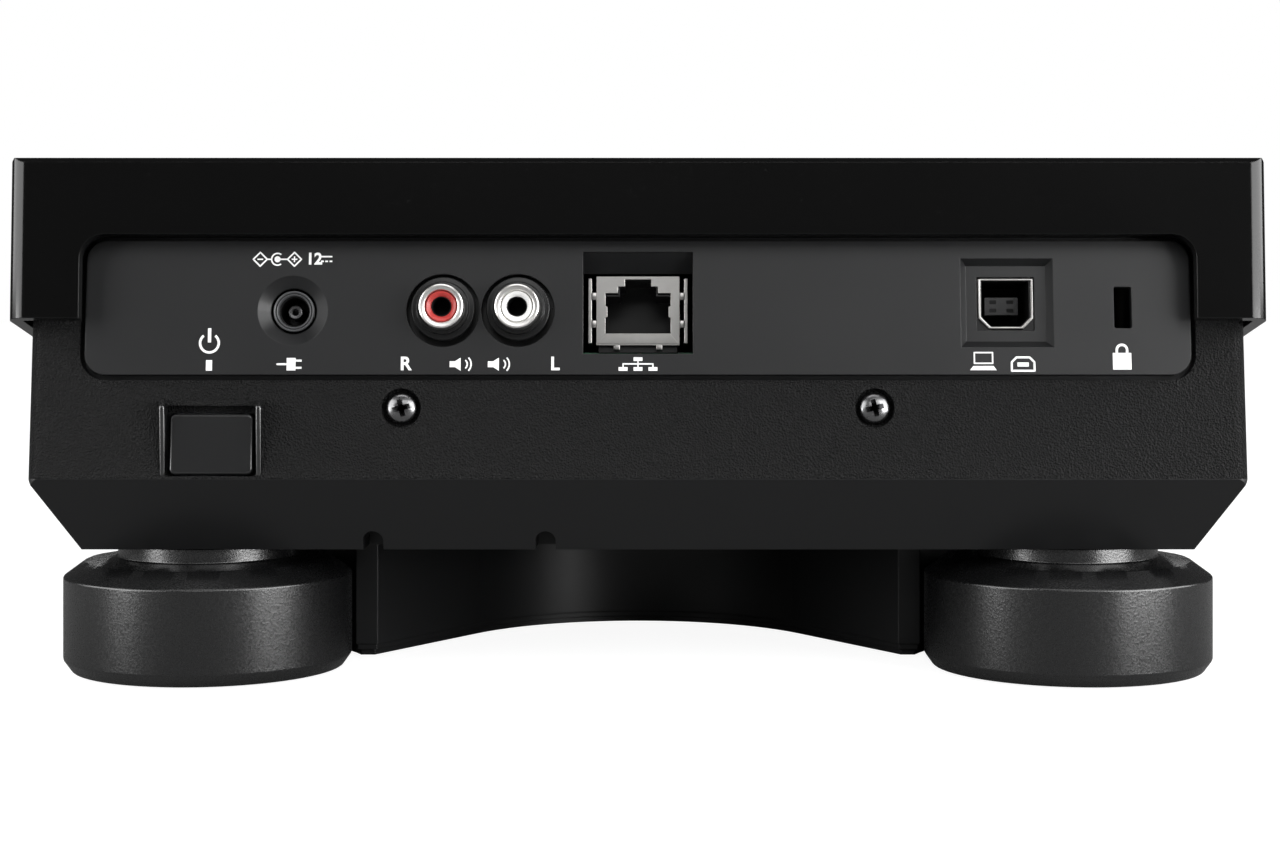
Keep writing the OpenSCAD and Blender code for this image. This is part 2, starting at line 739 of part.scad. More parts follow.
module eject_button() color("#2b2c2e") translate([eject_x, 0, slot_z]) rotate([90, 0, 0]) {
    translate([0, 0, -eject_back]) linear_extrude(eject_back - front_y + eject_rise)
        round_rect(eject_size[0], eject_size[1], 1);
    translate([0, 0, -eject_back]) linear_extrude(flange_h)
        round_rect(eject_size[0] + 2, eject_size[1] + 2, 1);
}

// ---- connector panel and sockets ----------------------------------------------------------

module panel_body() {
    rear_block(2*panel_x, panel_h, flange_n, panel_proud, panel_r);
    rear_block(2*panel_x + 3, panel_h + 3, flange_n - flange_t, flange_n, panel_r);
}

// Sloping roof of the network socket's recess, down to the socket's upper edge.
module net_roof() {
    top = net_recess[1]/2 + 0.1;
    low = socket_s + net_h + 0.4 - net_recess_s;
    on_rear(0, net_recess_s) side_prism(net_recess[0] + 0.2,
        [[panel_proud - 0.3, top], [net_n - 0.6, top], [net_n - 0.6, low], [net_n, low]]);
}

module rear_panel() color("#2c2d2f") {
    difference() {
        union() {
            difference() {
                on_rear(0, panel_mid) panel_body();
                on_rear(0, panel_mid) rear_block(2*panel_x - 5, panel_h - 4, -BIG/20, skin_n, 1.5);
            }
            on_rear(0, net_recess_s)
                rear_block(net_recess[0] + 2.4, net_recess[1] + 2.4, net_n - 0.6, skin_n + 0.1);
            on_rear(usb_x, usb_s)
                rear_block(usb_recess[0] + 2, usb_recess[1] + 2, flange_n, skin_n + 0.1);
        }
        on_rear(0, net_recess_s) rear_block(net_recess[0], net_recess[1], -BIG/20, 5);
        on_rear(usb_x, usb_s) {
            rear_block(usb_nose[0] + 0.5, usb_nose[1] + 0.5, -BIG/20, 5);
            usb_bevel_cut();
        }
        on_rear(dc_x, axis_s, skin_n - 0.01) outward() {
            cylinder(r1 = dc_barrel_r + 0.3, r2 = dc_flare_r, h = panel_skin + 0.02);
            translate([0, 0, -5]) cylinder(r = dc_barrel_r + 0.3, h = 6);
        }
        for (x = rca_x) on_rear(x, axis_s, -6) outward() cylinder(r = rca_recess_r, h = 12);
        on_rear(lock_x, lock_s) rear_block(lock_slot[0], lock_slot[1], -BIG/20, 5, 0.4);
    }
    net_roof();
}

// A recess whose four walls slope in towards the computer socket.
module usb_bevel_cut() {
    w = usb_recess[0]/2;
    h = usb_recess[1]/2;
    intersection() {
        front_taper(w, BIG/10);
        side_prism(BIG/10, [[panel_proud + 0.01, -h], [skin_n, usb_bevel - h],
                            [skin_n, h - usb_bevel], [panel_proud + 0.01, h]]);
    }
}

module front_taper(w, h) {
    linear_extrude(h, center = true)
        polygon([[-w, panel_proud + 0.01], [usb_bevel - w, skin_n], [w - usb_bevel, skin_n],
                 [w, panel_proud + 0.01]]);
}

module power_button() color("#262729") on_rear(power_x, power_s) {
    rear_block(power_size[0], power_size[1], flange_n - 0.5, -0.1, 1);
    rear_block(power_size[0] + 2, power_size[1] + 0.8, flange_n - 1.2, flange_n, 1);
    rear_block(5, 5, flange_n - 3, flange_n - 1);
}

// Push switches behind the power and eject buttons, each on a post from the pan's floor.
module panel_switches() color("#3b3b3d") {
    face = flange_n - 3 - power_travel - 0.3;
    on_rear(power_x, power_s) rear_block(12, 9, face - 8, face);
    translate([power_x - 4, rear_y + face - 8, floor_z]) cube([8, 4, crease_h - floor_z + 3]);
    back = eject_back + eject_travel + switch_gap;
    translate([eject_x - 3, back, slot_z - 3]) cube([6, 7.5, 6]);
    translate([eject_x - 3, back + 5, floor_z]) cube([6, 2.5, slot_z - floor_z]);
}

module dc_inlet() color("#111112") on_rear(dc_x, axis_s) {
    difference() {
        union() {
            translate([0, -11, (socket_s - axis_s)/2 + 2.2])
                cube([9, 9, axis_s - socket_s + 4.4], center = true);
            translate([0, -8, 0]) outward() cylinder(r = dc_barrel_r, h = 8 + skin_n);
        }
        translate([0, -11, 0]) outward() cylinder(r = dc_bore_r, h = 20);
    }
    translate([0, -12, 0]) outward() cylinder(r = dc_pin_r, h = 12 + skin_n - 4.4);
}

module audio_housing() color("#0d0d0e") difference() {
    union() {
        on_rear((rca_x[0] + rca_x[1])/2, (socket_s + rca_body_s)/2)
            rear_block(rca_x[0] - rca_x[1] + 13.6, rca_body_s - socket_s, -16, skin_n - 1.6);
        for (x = rca_x) on_rear(x, rca_s, -6) outward() cylinder(r = 5, h = 5.9);
    }
    for (x = rca_x) on_rear(x, rca_s, -7) outward() cylinder(r = rca_ring_r + FIT, h = 12);
}

module audio_rings() color("#c9c9c4") for (x = rca_x) on_rear(x, rca_s, -7) outward()
    tube(rca_ring_r, rca_ring_r - rca_ring_t, rca_reach + 7);

module audio_insert(x) on_rear(x, rca_s, -7) outward() difference() {
    cylinder(r = rca_ring_r - rca_ring_t - FIT, h = rca_reach + 6.6);
    translate([0, 0, 2]) cylinder(r = rca_pin_r, h = rca_reach + 6.6);
}

module audio_insert_red() color("#b8322c") audio_insert(rca_x[0]);
module audio_insert_white() color("#e8e8e4") audio_insert(rca_x[1]);

// The network socket's mouth with the two steps for the plug's latch.
module net_mouth_cut(n0, n1, grow = 0) {
    on_rear(0, net_mouth_s + net_mouth[1]/2)
        rear_block(net_mouth[0] + 2*grow, net_mouth[1] + 2*grow, n0, n1);
    for (step = net_steps) {
        h = net_mouth[1] + step[1];
        on_rear(0, net_mouth_s + h/2) rear_block(step[0] + 2*grow, h + 2*grow, n0, n1);
    }
}

module network_socket() color("#b4b6b8") difference() {
    on_rear(0, socket_s + net_h/2) rear_block(net_w, net_h, -22, net_n);
    net_mouth_cut(-21, 5, 0.3);
}

module network_insert() color("#131314") difference() {
    net_mouth_cut(-20.8, net_n - 0.5, 0.25);
    net_mouth_cut(-16, 5);
}

module usb_profile(w, h) {
    c = 1.7;
    polygon([[-w/2 + c, -h/2], [w/2 - c, -h/2], [w/2, -h/2 + c], [w/2, h/2], [-w/2, h/2], [-w/2, -h/2 + c]]);
}

module computer_socket() color("#a9abad") {
    difference() {
        union() {
            on_rear(usb_x, usb_s) translate([0, skin_n + 0.2, 0]) rotate([90, 0, 0])
                linear_extrude(6) usb_profile(usb_nose[0], usb_nose[1]);
            on_rear(usb_x, (socket_s + usb_s + 5.4)/2)
                rear_block(12, usb_s + 5.4 - socket_s, -19, flange_n - SEAT);
        }
        on_rear(usb_x, usb_s) translate([0, 5, 0]) rotate([90, 0, 0])
            linear_extrude(20) usb_profile(usb_nose[0] - 0.7, usb_nose[1] - 0.7);
    }
    on_rear(usb_x, usb_s) rear_block(5.6, 2.9, -16, skin_n - 4.4);
}

module socket_board() color("#14452c") on_rear(0, socket_s - BOARD_T)
    translate([-socket_board_x, -socket_board_n[1], 0])
        cube([2*socket_board_x, socket_board_n[1] - socket_board_n[0], BOARD_T]);

// ---- screws -------------------------------------------------------------------------------

module pan_screw(length) {
    difference() {
        union() {
            cylinder(r1 = head_r, r2 = head_r*0.7, h = head_h);
            translate([0, 0, -length]) cylinder(r = screw_r, h = length + 0.1);
        }
        for (a = [0, 90]) rotate([0, 0, a])
            translate([0, 0, head_h]) cube([3, 0.7, 1.6], center = true);
    }
}

module case_screws() color("#4a4a4c") {
    for (sx = [-1, 1]) on_rear(sx*rear_screw_x, rear_screw_s, -1.2) outward() pan_screw(6);
    for (sx = [-1, 1], y = post_y) {
        split_z = rear_h - (deck_y - y)*tan(deck_slope) - post_split;
        translate([sx*post_x, y, base_h + 1.8]) mirror([0, 0, 1]) pan_screw(split_z + 5 - base_h);
    }
    for (sx = [-1, 1]) translate([sx*foot_x, foot_y, 9]) mirror([0, 0, 1])
        pan_screw(foot_screw_top - 10);
    for (p = front_pads) translate([p[0], p[1], floor_z]) pan_screw(12);
}

// ---- deck controls ------------------------------------------------------------------------

module deck_key(k) color(k[3] == "round" ? "#8f9295" : "#34363a") on_deck() {
    translate([0, 0, under_z - SEAT - 0.2]) linear_extrude(plate_t + SEAT + 0.2 + key_rise) key_outline(k);
    translate([0, 0, under_z - SEAT - flange_h]) linear_extrude(flange_h) key_outline(k, key_flange);
}

module control_board() color("#1c3d5a") on_deck() {
    translate([0, 0, board_z - BOARD_T]) linear_extrude(BOARD_T) difference() {
        translate([-board_x, -board_v[1]]) square([2*board_x, board_v[1] - board_v[0]]);
        translate([0, -jog_v]) circle(r = bearing_r + 5);
        translate([fader_x - fader_box[0]/2 - 1.5, -board_v[1] - 1])
            square([BIG, board_v[1] + 1 - fader_v + fader_box[1]/2 + 2]);
    }
    switch_top = under_z - SEAT - flange_h - key_travel - switch_gap;
    for (k = KEYS) translate([k[1], -k[2], (switch_top + board_z)/2])
        cube([6, 6, switch_top - board_z], center = true);
}

module memory_port() color("#9fa2a5") on_deck(-column_x, port_v) {
    w = port_mouth[0];
    d = port_mouth[1];
    translate([0, 0, -port_depth]) difference() {
        translate([0, 0, port_depth/2 - 0.1])
            cube([w + 2*port_wall, d + 2*port_wall, port_depth - 0.2], center = true);
        translate([0, 0, port_depth/2 + port_wall]) cube([w, d, port_depth], center = true);
    }
    translate([0, 0, under_z - 0.8]) difference() {
        cube([w + 5, d + 5, 1.2], center = true);
        cube([w + port_wall, d + port_wall, 3], center = true);
    }
    translate([0, 1.2, -port_tongue - (port_depth - port_tongue)/2 + port_wall/2])
        cube([w - 1.2, 1.9, port_depth - port_tongue - port_wall], center = true);
}

module fader_unit() color("#77797c") on_deck(fader_x, fader_v) difference() {
    translate([0, 0, under_z - fader_box[2]/2]) cube(fader_box, center = true);
    translate([0, 0, under_z - fader_box[2]/2 + 1.5])
        cube([fader_slot_w + 1.4, 2*fader_travel + 12, fader_box[2]], center = true);
}

// The tempo slider at the centre of its travel: cap, stem and the carriage in the fader's channel.
module tempo_slider() color("#2a2b2d") on_deck(fader_x, fader_v) {
    difference() {
        translate([0, 0, 0.8]) linear_extrude(fader_cap[2]) round_rect(fader_cap[0], fader_cap[1], 1.5);
        for (sy = [-1, 1]) translate([0, sy*(fader_cap[1]/2 + 2), fader_cap[2] + 1.6]) rotate([0, 90, 0])
            cylinder(r = 10, h = 30, center = true);
    }
    translate([0, 0, -4]) cube([fader_stem[0], fader_stem[1], 10], center = true);
    translate([0, 0, -8.6]) cube([fader_slot_w + 1, 10, 3], center = true);
}

module selector_encoder() color("#5d6063") on_deck(column_x, selector_v) difference() {
    union() {
        translate([0, 0, under_z - 4]) cube([13, 13, 8], center = true);
        translate([0, 0, under_z - 1]) cylinder(r = selector_shaft_r + 1.3, h = plate_t + 1.2);
    }
    translate([0, 0, under_z - 7]) cylinder(r = selector_shaft_r + FIT, h = 20);
}

module selector_shaft() color("#b9bbbd") on_deck(column_x, selector_v, under_z - 6)
    cylinder(r = selector_shaft_r, h = 6 + plate_t + selector_h - 3);

module selector_knob() color("#202123") on_deck(column_x, selector_v) difference() {
    union() {
        translate([0, 0, 1.2]) cylinder(r = selector_r, h = 2);
        translate([0, 0, 3]) cylinder(r1 = selector_r - 0.8, r2 = selector_r - 1.3, h = selector_h - 3);
    }
    translate([0, 0, 0]) cylinder(r = selector_shaft_r + FIT, h = selector_h - 2);
}

// ---- jog wheel ----------------------------------------------------------------------------

module jog_wheel() color("#1a1b1d") on_deck(0, jog_v) {
    seat = jog_h - jog_rim_drop;
    rotate_extrude($fn = 96) polygon([[hub_r - 3, jog_gap], [hub_r, jog_gap], [hub_r, seat - 3],
        [jog_r - 7, seat - 4], [jog_r - 3, jog_gap], [jog_r, jog_gap], [jog_r, jog_gap + 3],
        [jog_r - 4, seat - 1], [jog_r - 6, jog_h - 0.6], [jog_plate_r + 3, jog_h],
        [jog_plate_r + jog_plate_gap, jog_h], [jog_plate_r + jog_plate_gap, seat], [shaft_r + FIT/2, seat],
        [shaft_r + FIT/2, jog_gap], [hub_r - 3, jog_gap]]);
}

module jog_plate() color("#8b8e91") on_deck(0, jog_v, jog_h - jog_plate_t - 0.1)
    cylinder(r = jog_plate_r, h = jog_plate_t);

module jog_shaft() color("#c3c5c7") on_deck(0, jog_v, shaft_end)
    cylinder(r = shaft_r, h = jog_h - jog_rim_drop - 0.5 - shaft_end);

module jog_bearing() color("#4c4e51") on_deck(0, jog_v) difference() {
    union() {
        translate([0, 0, under_z - 3]) cylinder(r = bearing_flange_r, h = 3);
        translate([0, 0, under_z - bearing_l]) cylinder(r = bearing_r, h = bearing_l + plate_t + 0.5);
    }
    translate([0, 0, -30]) cylinder(r = shaft_r + FIT, h = 60);
}

module encoder_disc() color("#d0d2d4") on_deck(0, jog_v, under_z - bearing_l - 2)
    difference() {
        cylinder(r = encoder_r, h = 1);
        translate([0, 0, -1]) cylinder(r = shaft_r + FIT/2, h = 3);
        for (i = [0:29]) rotate([0, 0, 12*i]) translate([encoder_r - 4, 0, 0])
            cube([4, 1.6, 4], center = true);
    }

// ---- disc drive ---------------------------------------------------------------------------

module drive_chassis() color("#8d9194") difference() {
    mid = drive_y + drive_l/2;
    translate([0, mid, drive_z + drive_h/2]) cube([drive_w, drive_l, drive_h], center = true);
    translate([0, mid, drive_z + drive_h/2])
        cube([drive_w - 2*sheet_t, drive_l - 2*sheet_t, drive_h - 2*sheet_t], center = true);
    translate([0, drive_y, slot_z]) cube([slot_w, 10, slot_h], center = true);
}

// A block on the drive's floor with a hole along Y at [x, rod_z].
module rod_block(x, y) difference() {
    translate([x - 3, y - 2, drive_z + sheet_t]) cube([6, 4, rod_z + 3 - drive_z - sheet_t]);
    translate([x, y + 5, rod_z]) rotate([90, 0, 0]) cylinder(r = rod_r + FIT, h = 10);
}

// An ear on the drive's floor that carries one end of the feed roller's axle.
module roller_ear(x) difference() {
    translate([x - 1, roller_y - 3, drive_z + sheet_t]) cube([2, 6, roller_z + 3 - drive_z - sheet_t]);
    translate([x - 5, roller_y, roller_z]) rotate([0, 90, 0]) cylinder(r = axle_r + FIT, h = 10);
}

module guide_rods() color("#c8cacc") {
    for (sx = [-1, 1]) translate([sx*rod_x, rod_y[1] + 2, rod_z]) rotate([90, 0, 0])
        cylinder(r = rod_r, h = rod_y[1] - rod_y[0] + 4);
    for (sx = [-1, 1], y = rod_y) rod_block(sx*rod_x, y);
    rod_block(screw_x, rod_y[0]);
    for (sx = [-1, 1]) roller_ear(sx*(drive_w/2 - 8));
}

module spindle_motor() color("#5f6266") translate([0, spindle_y, drive_z + sheet_t]) {
    cylinder(r = 12, h = 4);
    cylinder(r = 1.5, h = hub_top - drive_z - sheet_t - 1);
}

module spindle_hub() color("#26282a") translate([0, spindle_y, drive_z + sheet_t + 4.4]) difference() {
    union() {
        cylinder(r = 13, h = 1.4);
        cylinder(r = 7.3, h = hub_top - drive_z - sheet_t - 4.4);
    }
    translate([0, 0, -1]) cylinder(r = 1.5 + FIT, h = 20);
}

module feed_roller() color("#2a2a2b") translate([0, roller_y, roller_z]) rotate([0, 90, 0]) {
    cylinder(r = roller_r, h = drive_w - 2*roller_side, center = true);
    cylinder(r = axle_r, h = drive_w - 12, center = true);
}

module lead_screw() color("#b6a46a") translate([screw_x, rod_y[1] + 5.4, rod_z]) rotate([90, 0, 0])
    cylinder(r = rod_r, h = rod_y[1] - rod_y[0] + 7.4);

module sled_motor() color("#6c6f73") difference() {
    union() {
        translate([screw_x, rod_y[1] + 11.4, rod_z]) rotate([90, 0, 0]) cylinder(r = motor_r, h = 9);
        translate([screw_x - 3, rod_y[1] + 3, drive_z + sheet_t]) cube([6, 8, rod_z - drive_z - sheet_t]);
    }
    translate([screw_x, rod_y[1] + 6, rod_z]) rotate([90, 0, 0]) cylinder(r = rod_r + FIT, h = 10);
}

module pickup_sled() color("#3f4245") translate([0, sled_y, rod_z]) difference() {
    union() {
        cube(sled_size, center = true);
        translate([screw_x - 2, 0, 0]) cube([11, sled_size[1] - 6, 5.4], center = true);
        translate([0, 0, sled_size[2]/2 - 0.1]) cylinder(r = 3.4, h = 0.9);
    }
    for (sx = [-1, 1]) translate([sx*rod_x, 0, 0]) rotate([90, 0, 0])
        cylinder(r = rod_r + FIT, h = 40, center = true);
    translate([screw_x, 0, 0]) rotate([90, 0, 0]) cylinder(r = rod_r + FIT, h = 40, center = true);
}

module main_board() color("#17492f") {
    y = main_board_y;
    translate([-main_board_x, y[0], main_board_z]) cube([2*main_board_x, y[1] - y[0], BOARD_T]);
    for (i = [-2:2]) translate([i*28, (y[0] + y[1])/2 + 8*(i % 2), main_board_z + BOARD_T])
        linear_extrude(2) square([16, 16], center = true);
    for (i = [-3:3]) translate([i*20, y[1] - 10, main_board_z + BOARD_T]) cylinder(r = 3.2, h = 9);
}

// ---- nodes --------------------------------------------------------------------------------

top_shell();
faceplate();
lower_chassis();
base_pan();
front_foot();
rear_feet();
foot_pads();
front_bezel();
slot_light();
eject_button();
rear_panel();
power_button();
panel_switches();
dc_inlet();
audio_housing();
audio_rings();
audio_insert_red();
audio_insert_white();
network_socket();
network_insert();
computer_socket();
socket_board();
case_screws();
screen_lens();
display_module();
memory_port();
control_board();
fader_unit();
tempo_slider();
selector_encoder();
selector_shaft();
selector_knob();
jog_wheel();
jog_plate();
jog_shaft();
jog_bearing();
encoder_disc();
drive_chassis();
spindle_motor();
spindle_hub();
feed_roller();
guide_rods();
lead_screw();
sled_motor();
pickup_sled();
main_board();
for (k = KEYS) deck_key(k);
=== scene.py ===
"""Looks for a tabletop player deck: finishes, softened edges, small fittings, marks, floor and light.

Metres, +X to the user's right, +Y from the user to the connector panel, +Z up.
"""

import json
import math

import bmesh
import bpy
from mathutils import Matrix, Vector
from mathutils.bvhtree import BVHTree

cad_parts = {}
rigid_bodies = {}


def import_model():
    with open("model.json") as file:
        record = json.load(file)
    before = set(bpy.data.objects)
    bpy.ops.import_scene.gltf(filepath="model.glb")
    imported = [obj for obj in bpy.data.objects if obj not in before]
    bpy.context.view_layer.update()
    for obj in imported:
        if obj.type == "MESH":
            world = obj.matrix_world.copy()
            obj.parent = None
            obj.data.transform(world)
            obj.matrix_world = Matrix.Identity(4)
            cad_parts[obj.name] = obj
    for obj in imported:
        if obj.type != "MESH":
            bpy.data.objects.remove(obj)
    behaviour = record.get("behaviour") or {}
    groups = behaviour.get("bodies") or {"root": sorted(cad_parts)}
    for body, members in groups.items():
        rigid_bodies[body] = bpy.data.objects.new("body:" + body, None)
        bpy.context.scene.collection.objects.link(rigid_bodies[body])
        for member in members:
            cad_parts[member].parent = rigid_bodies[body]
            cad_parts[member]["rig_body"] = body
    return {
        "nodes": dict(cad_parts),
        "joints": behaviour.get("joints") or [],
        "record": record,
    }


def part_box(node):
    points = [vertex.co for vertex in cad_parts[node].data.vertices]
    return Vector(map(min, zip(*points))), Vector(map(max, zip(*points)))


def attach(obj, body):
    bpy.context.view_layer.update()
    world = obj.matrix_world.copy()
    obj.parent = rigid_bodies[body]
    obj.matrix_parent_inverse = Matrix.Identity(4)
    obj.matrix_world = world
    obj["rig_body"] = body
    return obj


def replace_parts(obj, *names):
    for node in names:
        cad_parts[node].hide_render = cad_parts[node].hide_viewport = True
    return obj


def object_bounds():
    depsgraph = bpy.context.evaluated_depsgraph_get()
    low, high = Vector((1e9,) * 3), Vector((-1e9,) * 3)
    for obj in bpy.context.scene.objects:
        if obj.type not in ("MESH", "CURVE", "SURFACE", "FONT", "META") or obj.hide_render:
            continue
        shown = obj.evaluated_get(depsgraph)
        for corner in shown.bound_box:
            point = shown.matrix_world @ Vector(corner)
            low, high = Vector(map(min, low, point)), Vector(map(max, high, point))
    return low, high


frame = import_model()
cad_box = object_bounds()

MM = 0.001
WELD = 0.002 * MM            # corners of a CAD mesh that lie closer than this are one
TOUCH = 0.001 * MM           # the same for a turned mesh
scene = bpy.context.scene
nodes = frame["nodes"]
joints = {joint["name"]: joint for joint in frame["joints"]}
mounts = {mount["name"]: mount for mount in frame["record"]["mounts"]}


# ---- camera ------------------------------------------------------------------

CAMERA_BACK = 0.360          # from the shell's rear edge to the lens
CAMERA_HEIGHT = 0.0635
CAMERA_LENS = 61.06          # focal length on a 36 mm wide sensor
FRAME_WIDTH = 1280           # pixels
LENS_SHIFT = (2, -116)       # to the right and up, in the frame's pixels


def place_camera():
    """Behind the player and level, with the lens shifted instead of tilted."""
    data = bpy.data.cameras.new("camera")
    data.lens = CAMERA_LENS
    data.sensor_width = 36
    data.shift_x = LENS_SHIFT[0] / FRAME_WIDTH
    data.shift_y = LENS_SHIFT[1] / FRAME_WIDTH
    data.clip_start = 0.01
    camera = bpy.data.objects.new("camera", data)
    scene.collection.objects.link(camera)
    camera.location = (0, cad_box[1][1] + CAMERA_BACK, CAMERA_HEIGHT)
    camera.rotation_euler = (math.pi / 2, 0, math.pi)
    scene.camera = camera


place_camera()


# ---- working planes ----------------------------------------------------------


def plane_at(origin, across, up, out):
    """A matrix from a plane's own axes (across, up, out) to the player's frame."""
    matrix = Matrix((across, up, out)).transposed().to_4x4()
    matrix.translation = origin
    return matrix


def rear_plane():
    """The chassis's leaning rear face: +X to the right as seen from behind, origin on the crease."""
    out = Vector(mounts["power_inlet"]["axis"]).normalized()
    crease = Vector((0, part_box("base_pan")[1].y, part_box("lower_chassis")[0].z))
    return plane_at(crease, Vector((-1, 0, 0)), Vector((0, -out.z, out.y)), out)


def deck_plane():
    """The deck's surface: +X to the right and +Y away from the user, origin on the jog wheel's axis."""
    out = Vector(joints["jog_spin"]["axis"]).normalized()
    return plane_at(Vector(joints["jog_spin"]["pos_m"]), Vector((1, 0, 0)), Vector((0, out.z, -out.y)), out)


def front_plane():
    """The chassis's upright front: +X to the right and +Y up, origin on the table."""
    front = Vector((0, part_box("lower_chassis")[0].y, 0))
    return plane_at(front, Vector((1, 0, 0)), Vector((0, 0, 1)), Vector((0, -1, 0)))


def under_plane():
    """The table's top seen from below: +X to the right and +Y to the front, pointing down."""
    return plane_at(Vector((0, 0, 0)), Vector((1, 0, 0)), Vector((0, -1, 0)), Vector((0, 0, -1)))


REAR = rear_plane()
DECK = deck_plane()
FRONT = front_plane()
UNDER = under_plane()


def spot(plane, x, y, z=0.0):
    """The plane moved so that its origin is at (x, y, z), in millimetres on the plane."""
    return plane @ Matrix.Translation(Vector((x, y, z)) * MM)


def on_plane(plane, point):
    """A point of the player's frame in a plane's own axes, in millimetres."""
    return (plane.inverted() @ point) / MM


def extent(node, plane):
    """A node's lowest and highest corners in a plane's own axes, in millimetres."""
    return reach([on_plane(plane, vertex.co) for vertex in nodes[node].data.vertices])


def reach(points):
    """The lowest and highest corners of a set of points."""
    low = Vector([min(point[axis] for point in points) for axis in range(3)])
    high = Vector([max(point[axis] for point in points) for axis in range(3)])
    return low, high


def centre(node, plane):
    """The middle of a node's box in a plane's own axes."""
    low, high = extent(node, plane)
    return (low + high) / 2


def outer_middle(low, high):
    """The middle of the outermost face of a box, from its lowest and highest corners."""
    return (low.x + high.x) / 2, (low.y + high.y) / 2, high.z


def on_face(node, plane):
    """The plane moved to the middle of a node's outermost face."""
    return spot(plane, *outer_middle(*extent(node, plane)))


def solids_of(node, plane):
    """The lowest and highest corners of each separate solid of a node, in a plane's own axes."""
    work = bmesh.new()
    work.from_mesh(nodes[node].data)
    bmesh.ops.remove_doubles(work, verts=work.verts, dist=WELD)
    found = []
    seen = set()
    for start in work.verts:
        if start in seen:
            continue
        group = []
        queue = [start]
        seen.add(start)
        while queue:
            vertex = queue.pop()
            group.append(on_plane(plane, vertex.co))
            for edge in vertex.link_edges:
                other = edge.other_vert(vertex)
                if other not in seen:
                    seen.add(other)
                    queue.append(other)
        found.append(reach(group))
    work.free()
    return found


# ---- node trees --------------------------------------------------------------


class Value:
    """A node's output that takes part in arithmetic: every operator adds one Math node."""

    def __init__(self, graph, socket):
        self.graph = graph
        self.socket = socket

    def _math(self, operation, first, second):
        return self.graph.add("ShaderNodeMath", {"operation": operation}, {0: first, 1: second})

    def __add__(self, other):
        return self._math("ADD", self, other)

    def __sub__(self, other):
        return self._math("SUBTRACT", self, other)

    def __rsub__(self, other):
        return self._math("SUBTRACT", other, self)

    def __mul__(self, other):
        return self._math("MULTIPLY", self, other)

    def __truediv__(self, other):
        return self._math("DIVIDE", self, other)

    def __rtruediv__(self, other):
        return self._math("DIVIDE", other, self)

    def __pow__(self, other):
        return self._math("POWER", self, other)

    def __rpow__(self, other):
        return self._math("POWER", other, self)

    def at_least(self, other):
        return self._math("MAXIMUM", self, other)

    def above(self, other):
        return self._math("GREATER_THAN", self, other)

    def beside(self, label):
        """Another output of the same node."""
        return Value(self.graph, self.socket.node.outputs[label])

    __radd__ = __add__
    __rmul__ = __mul__


class Graph:
    """A shader or geometry tree. add() makes any node: its settings first, then its sockets."""

    def __init__(self, tree):
        self.tree = tree
        tree.nodes.clear()

    def add(self, kind, settings=None, sockets=None, out=0):
        node = self.tree.nodes.new(kind)
        for name, value in (settings or {}).items():
            setattr(node, name, value)
        for key, value in (sockets or {}).items():
            if isinstance(value, Value):
                self.tree.links.new(value.socket, node.inputs[key])
            else:
                node.inputs[key].default_value = value
        return Value(self, node.outputs[out]) if len(node.outputs) else None


# ---- finishes ----------------------------------------------------------------


class Finish:
    """A Principled material read off Object coordinates, with pattern sizes in millimetres."""

    def __init__(self, name, plane=None):
        self.material = bpy.data.materials.new(name)
        self.material.use_nodes = True
        self.graph = Graph(self.material.node_tree)
        self.place = self.graph.add("ShaderNodeTexCoord", out="Object")
        if plane is not None:
            self.place = self.seen_from(plane)

    def seen_from(self, plane):
        """Coordinates in a plane's own axes."""
        inverse = plane.inverted()
        turn = tuple(inverse.to_euler())
        sockets = {"Vector": self.place, "Location": tuple(inverse.translation), "Rotation": turn}
        return self.graph.add("ShaderNodeMapping", {"vector_type": "POINT"}, sockets)

    def across_and_along(self):
        """The first two coordinates, in metres."""
        across = self.graph.add("ShaderNodeSeparateXYZ", None, {0: self.place}, out="X")
        return across, across.beside("Y")

    def stretched(self, x, y, z):
        """Coordinates stretched along each axis, for brushed and combed patterns."""
        sockets = {0: self.place, 1: (x, y, z)}
        return self.graph.add("ShaderNodeVectorMath", {"operation": "DIVIDE"}, sockets)

    def noise(self, size, detail=3.0, rough=0.55, place=None):
        sockets = {"Vector": place or self.place, "Scale": 1 / (size * MM)}
        sockets.update({"Detail": detail, "Roughness": rough})
        return self.graph.add("ShaderNodeTexNoise", None, sockets)

    def cells(self, size, smooth=0.4):
        sockets = {"Vector": self.place, "Scale": 1 / (size * MM), "Smoothness": smooth}
        return self.graph.add("ShaderNodeTexVoronoi", {"feature": "SMOOTH_F1"}, sockets)

    def ramp(self, value, low, high):
        """0 below low, 1 above high."""
        sockets = {"Value": value, "From Min": low, "From Max": high}
        return self.graph.add("ShaderNodeMapRange", {"clamp": True}, sockets)

    def blend(self, factor, first, second):
        settings = {"data_type": "RGBA", "blend_type": "MIX"}
        return self.graph.add("ShaderNodeMix", settings, {0: factor, 6: first, 7: second}, out=2)

    def close(self, colour, roughness, height=None, depth=0.0, soft_edge=0.0, **fixed):
        """Adds the Principled shader. height is 0 to 1, depth its size in millimetres."""
        sockets = {"Base Color": colour, "Roughness": roughness}
        sockets.update({name.replace("_", " "): value for name, value in fixed.items()})
        normal = None
        if soft_edge:
            normal = self.graph.add("ShaderNodeBevel", {"samples": 4}, {"Radius": soft_edge * MM})
        if height is not None:
            bump = {"Strength": 1.0, "Distance": depth * MM, "Height": height}
            if normal is not None:
                bump["Normal"] = normal
            normal = self.graph.add("ShaderNodeBump", None, bump)
        if normal is not None:
            sockets["Normal"] = normal
        shader = self.graph.add("ShaderNodeBsdfPrincipled", None, sockets)
        self.graph.add("ShaderNodeOutputMaterial", None, {"Surface": shader})
        return self.material


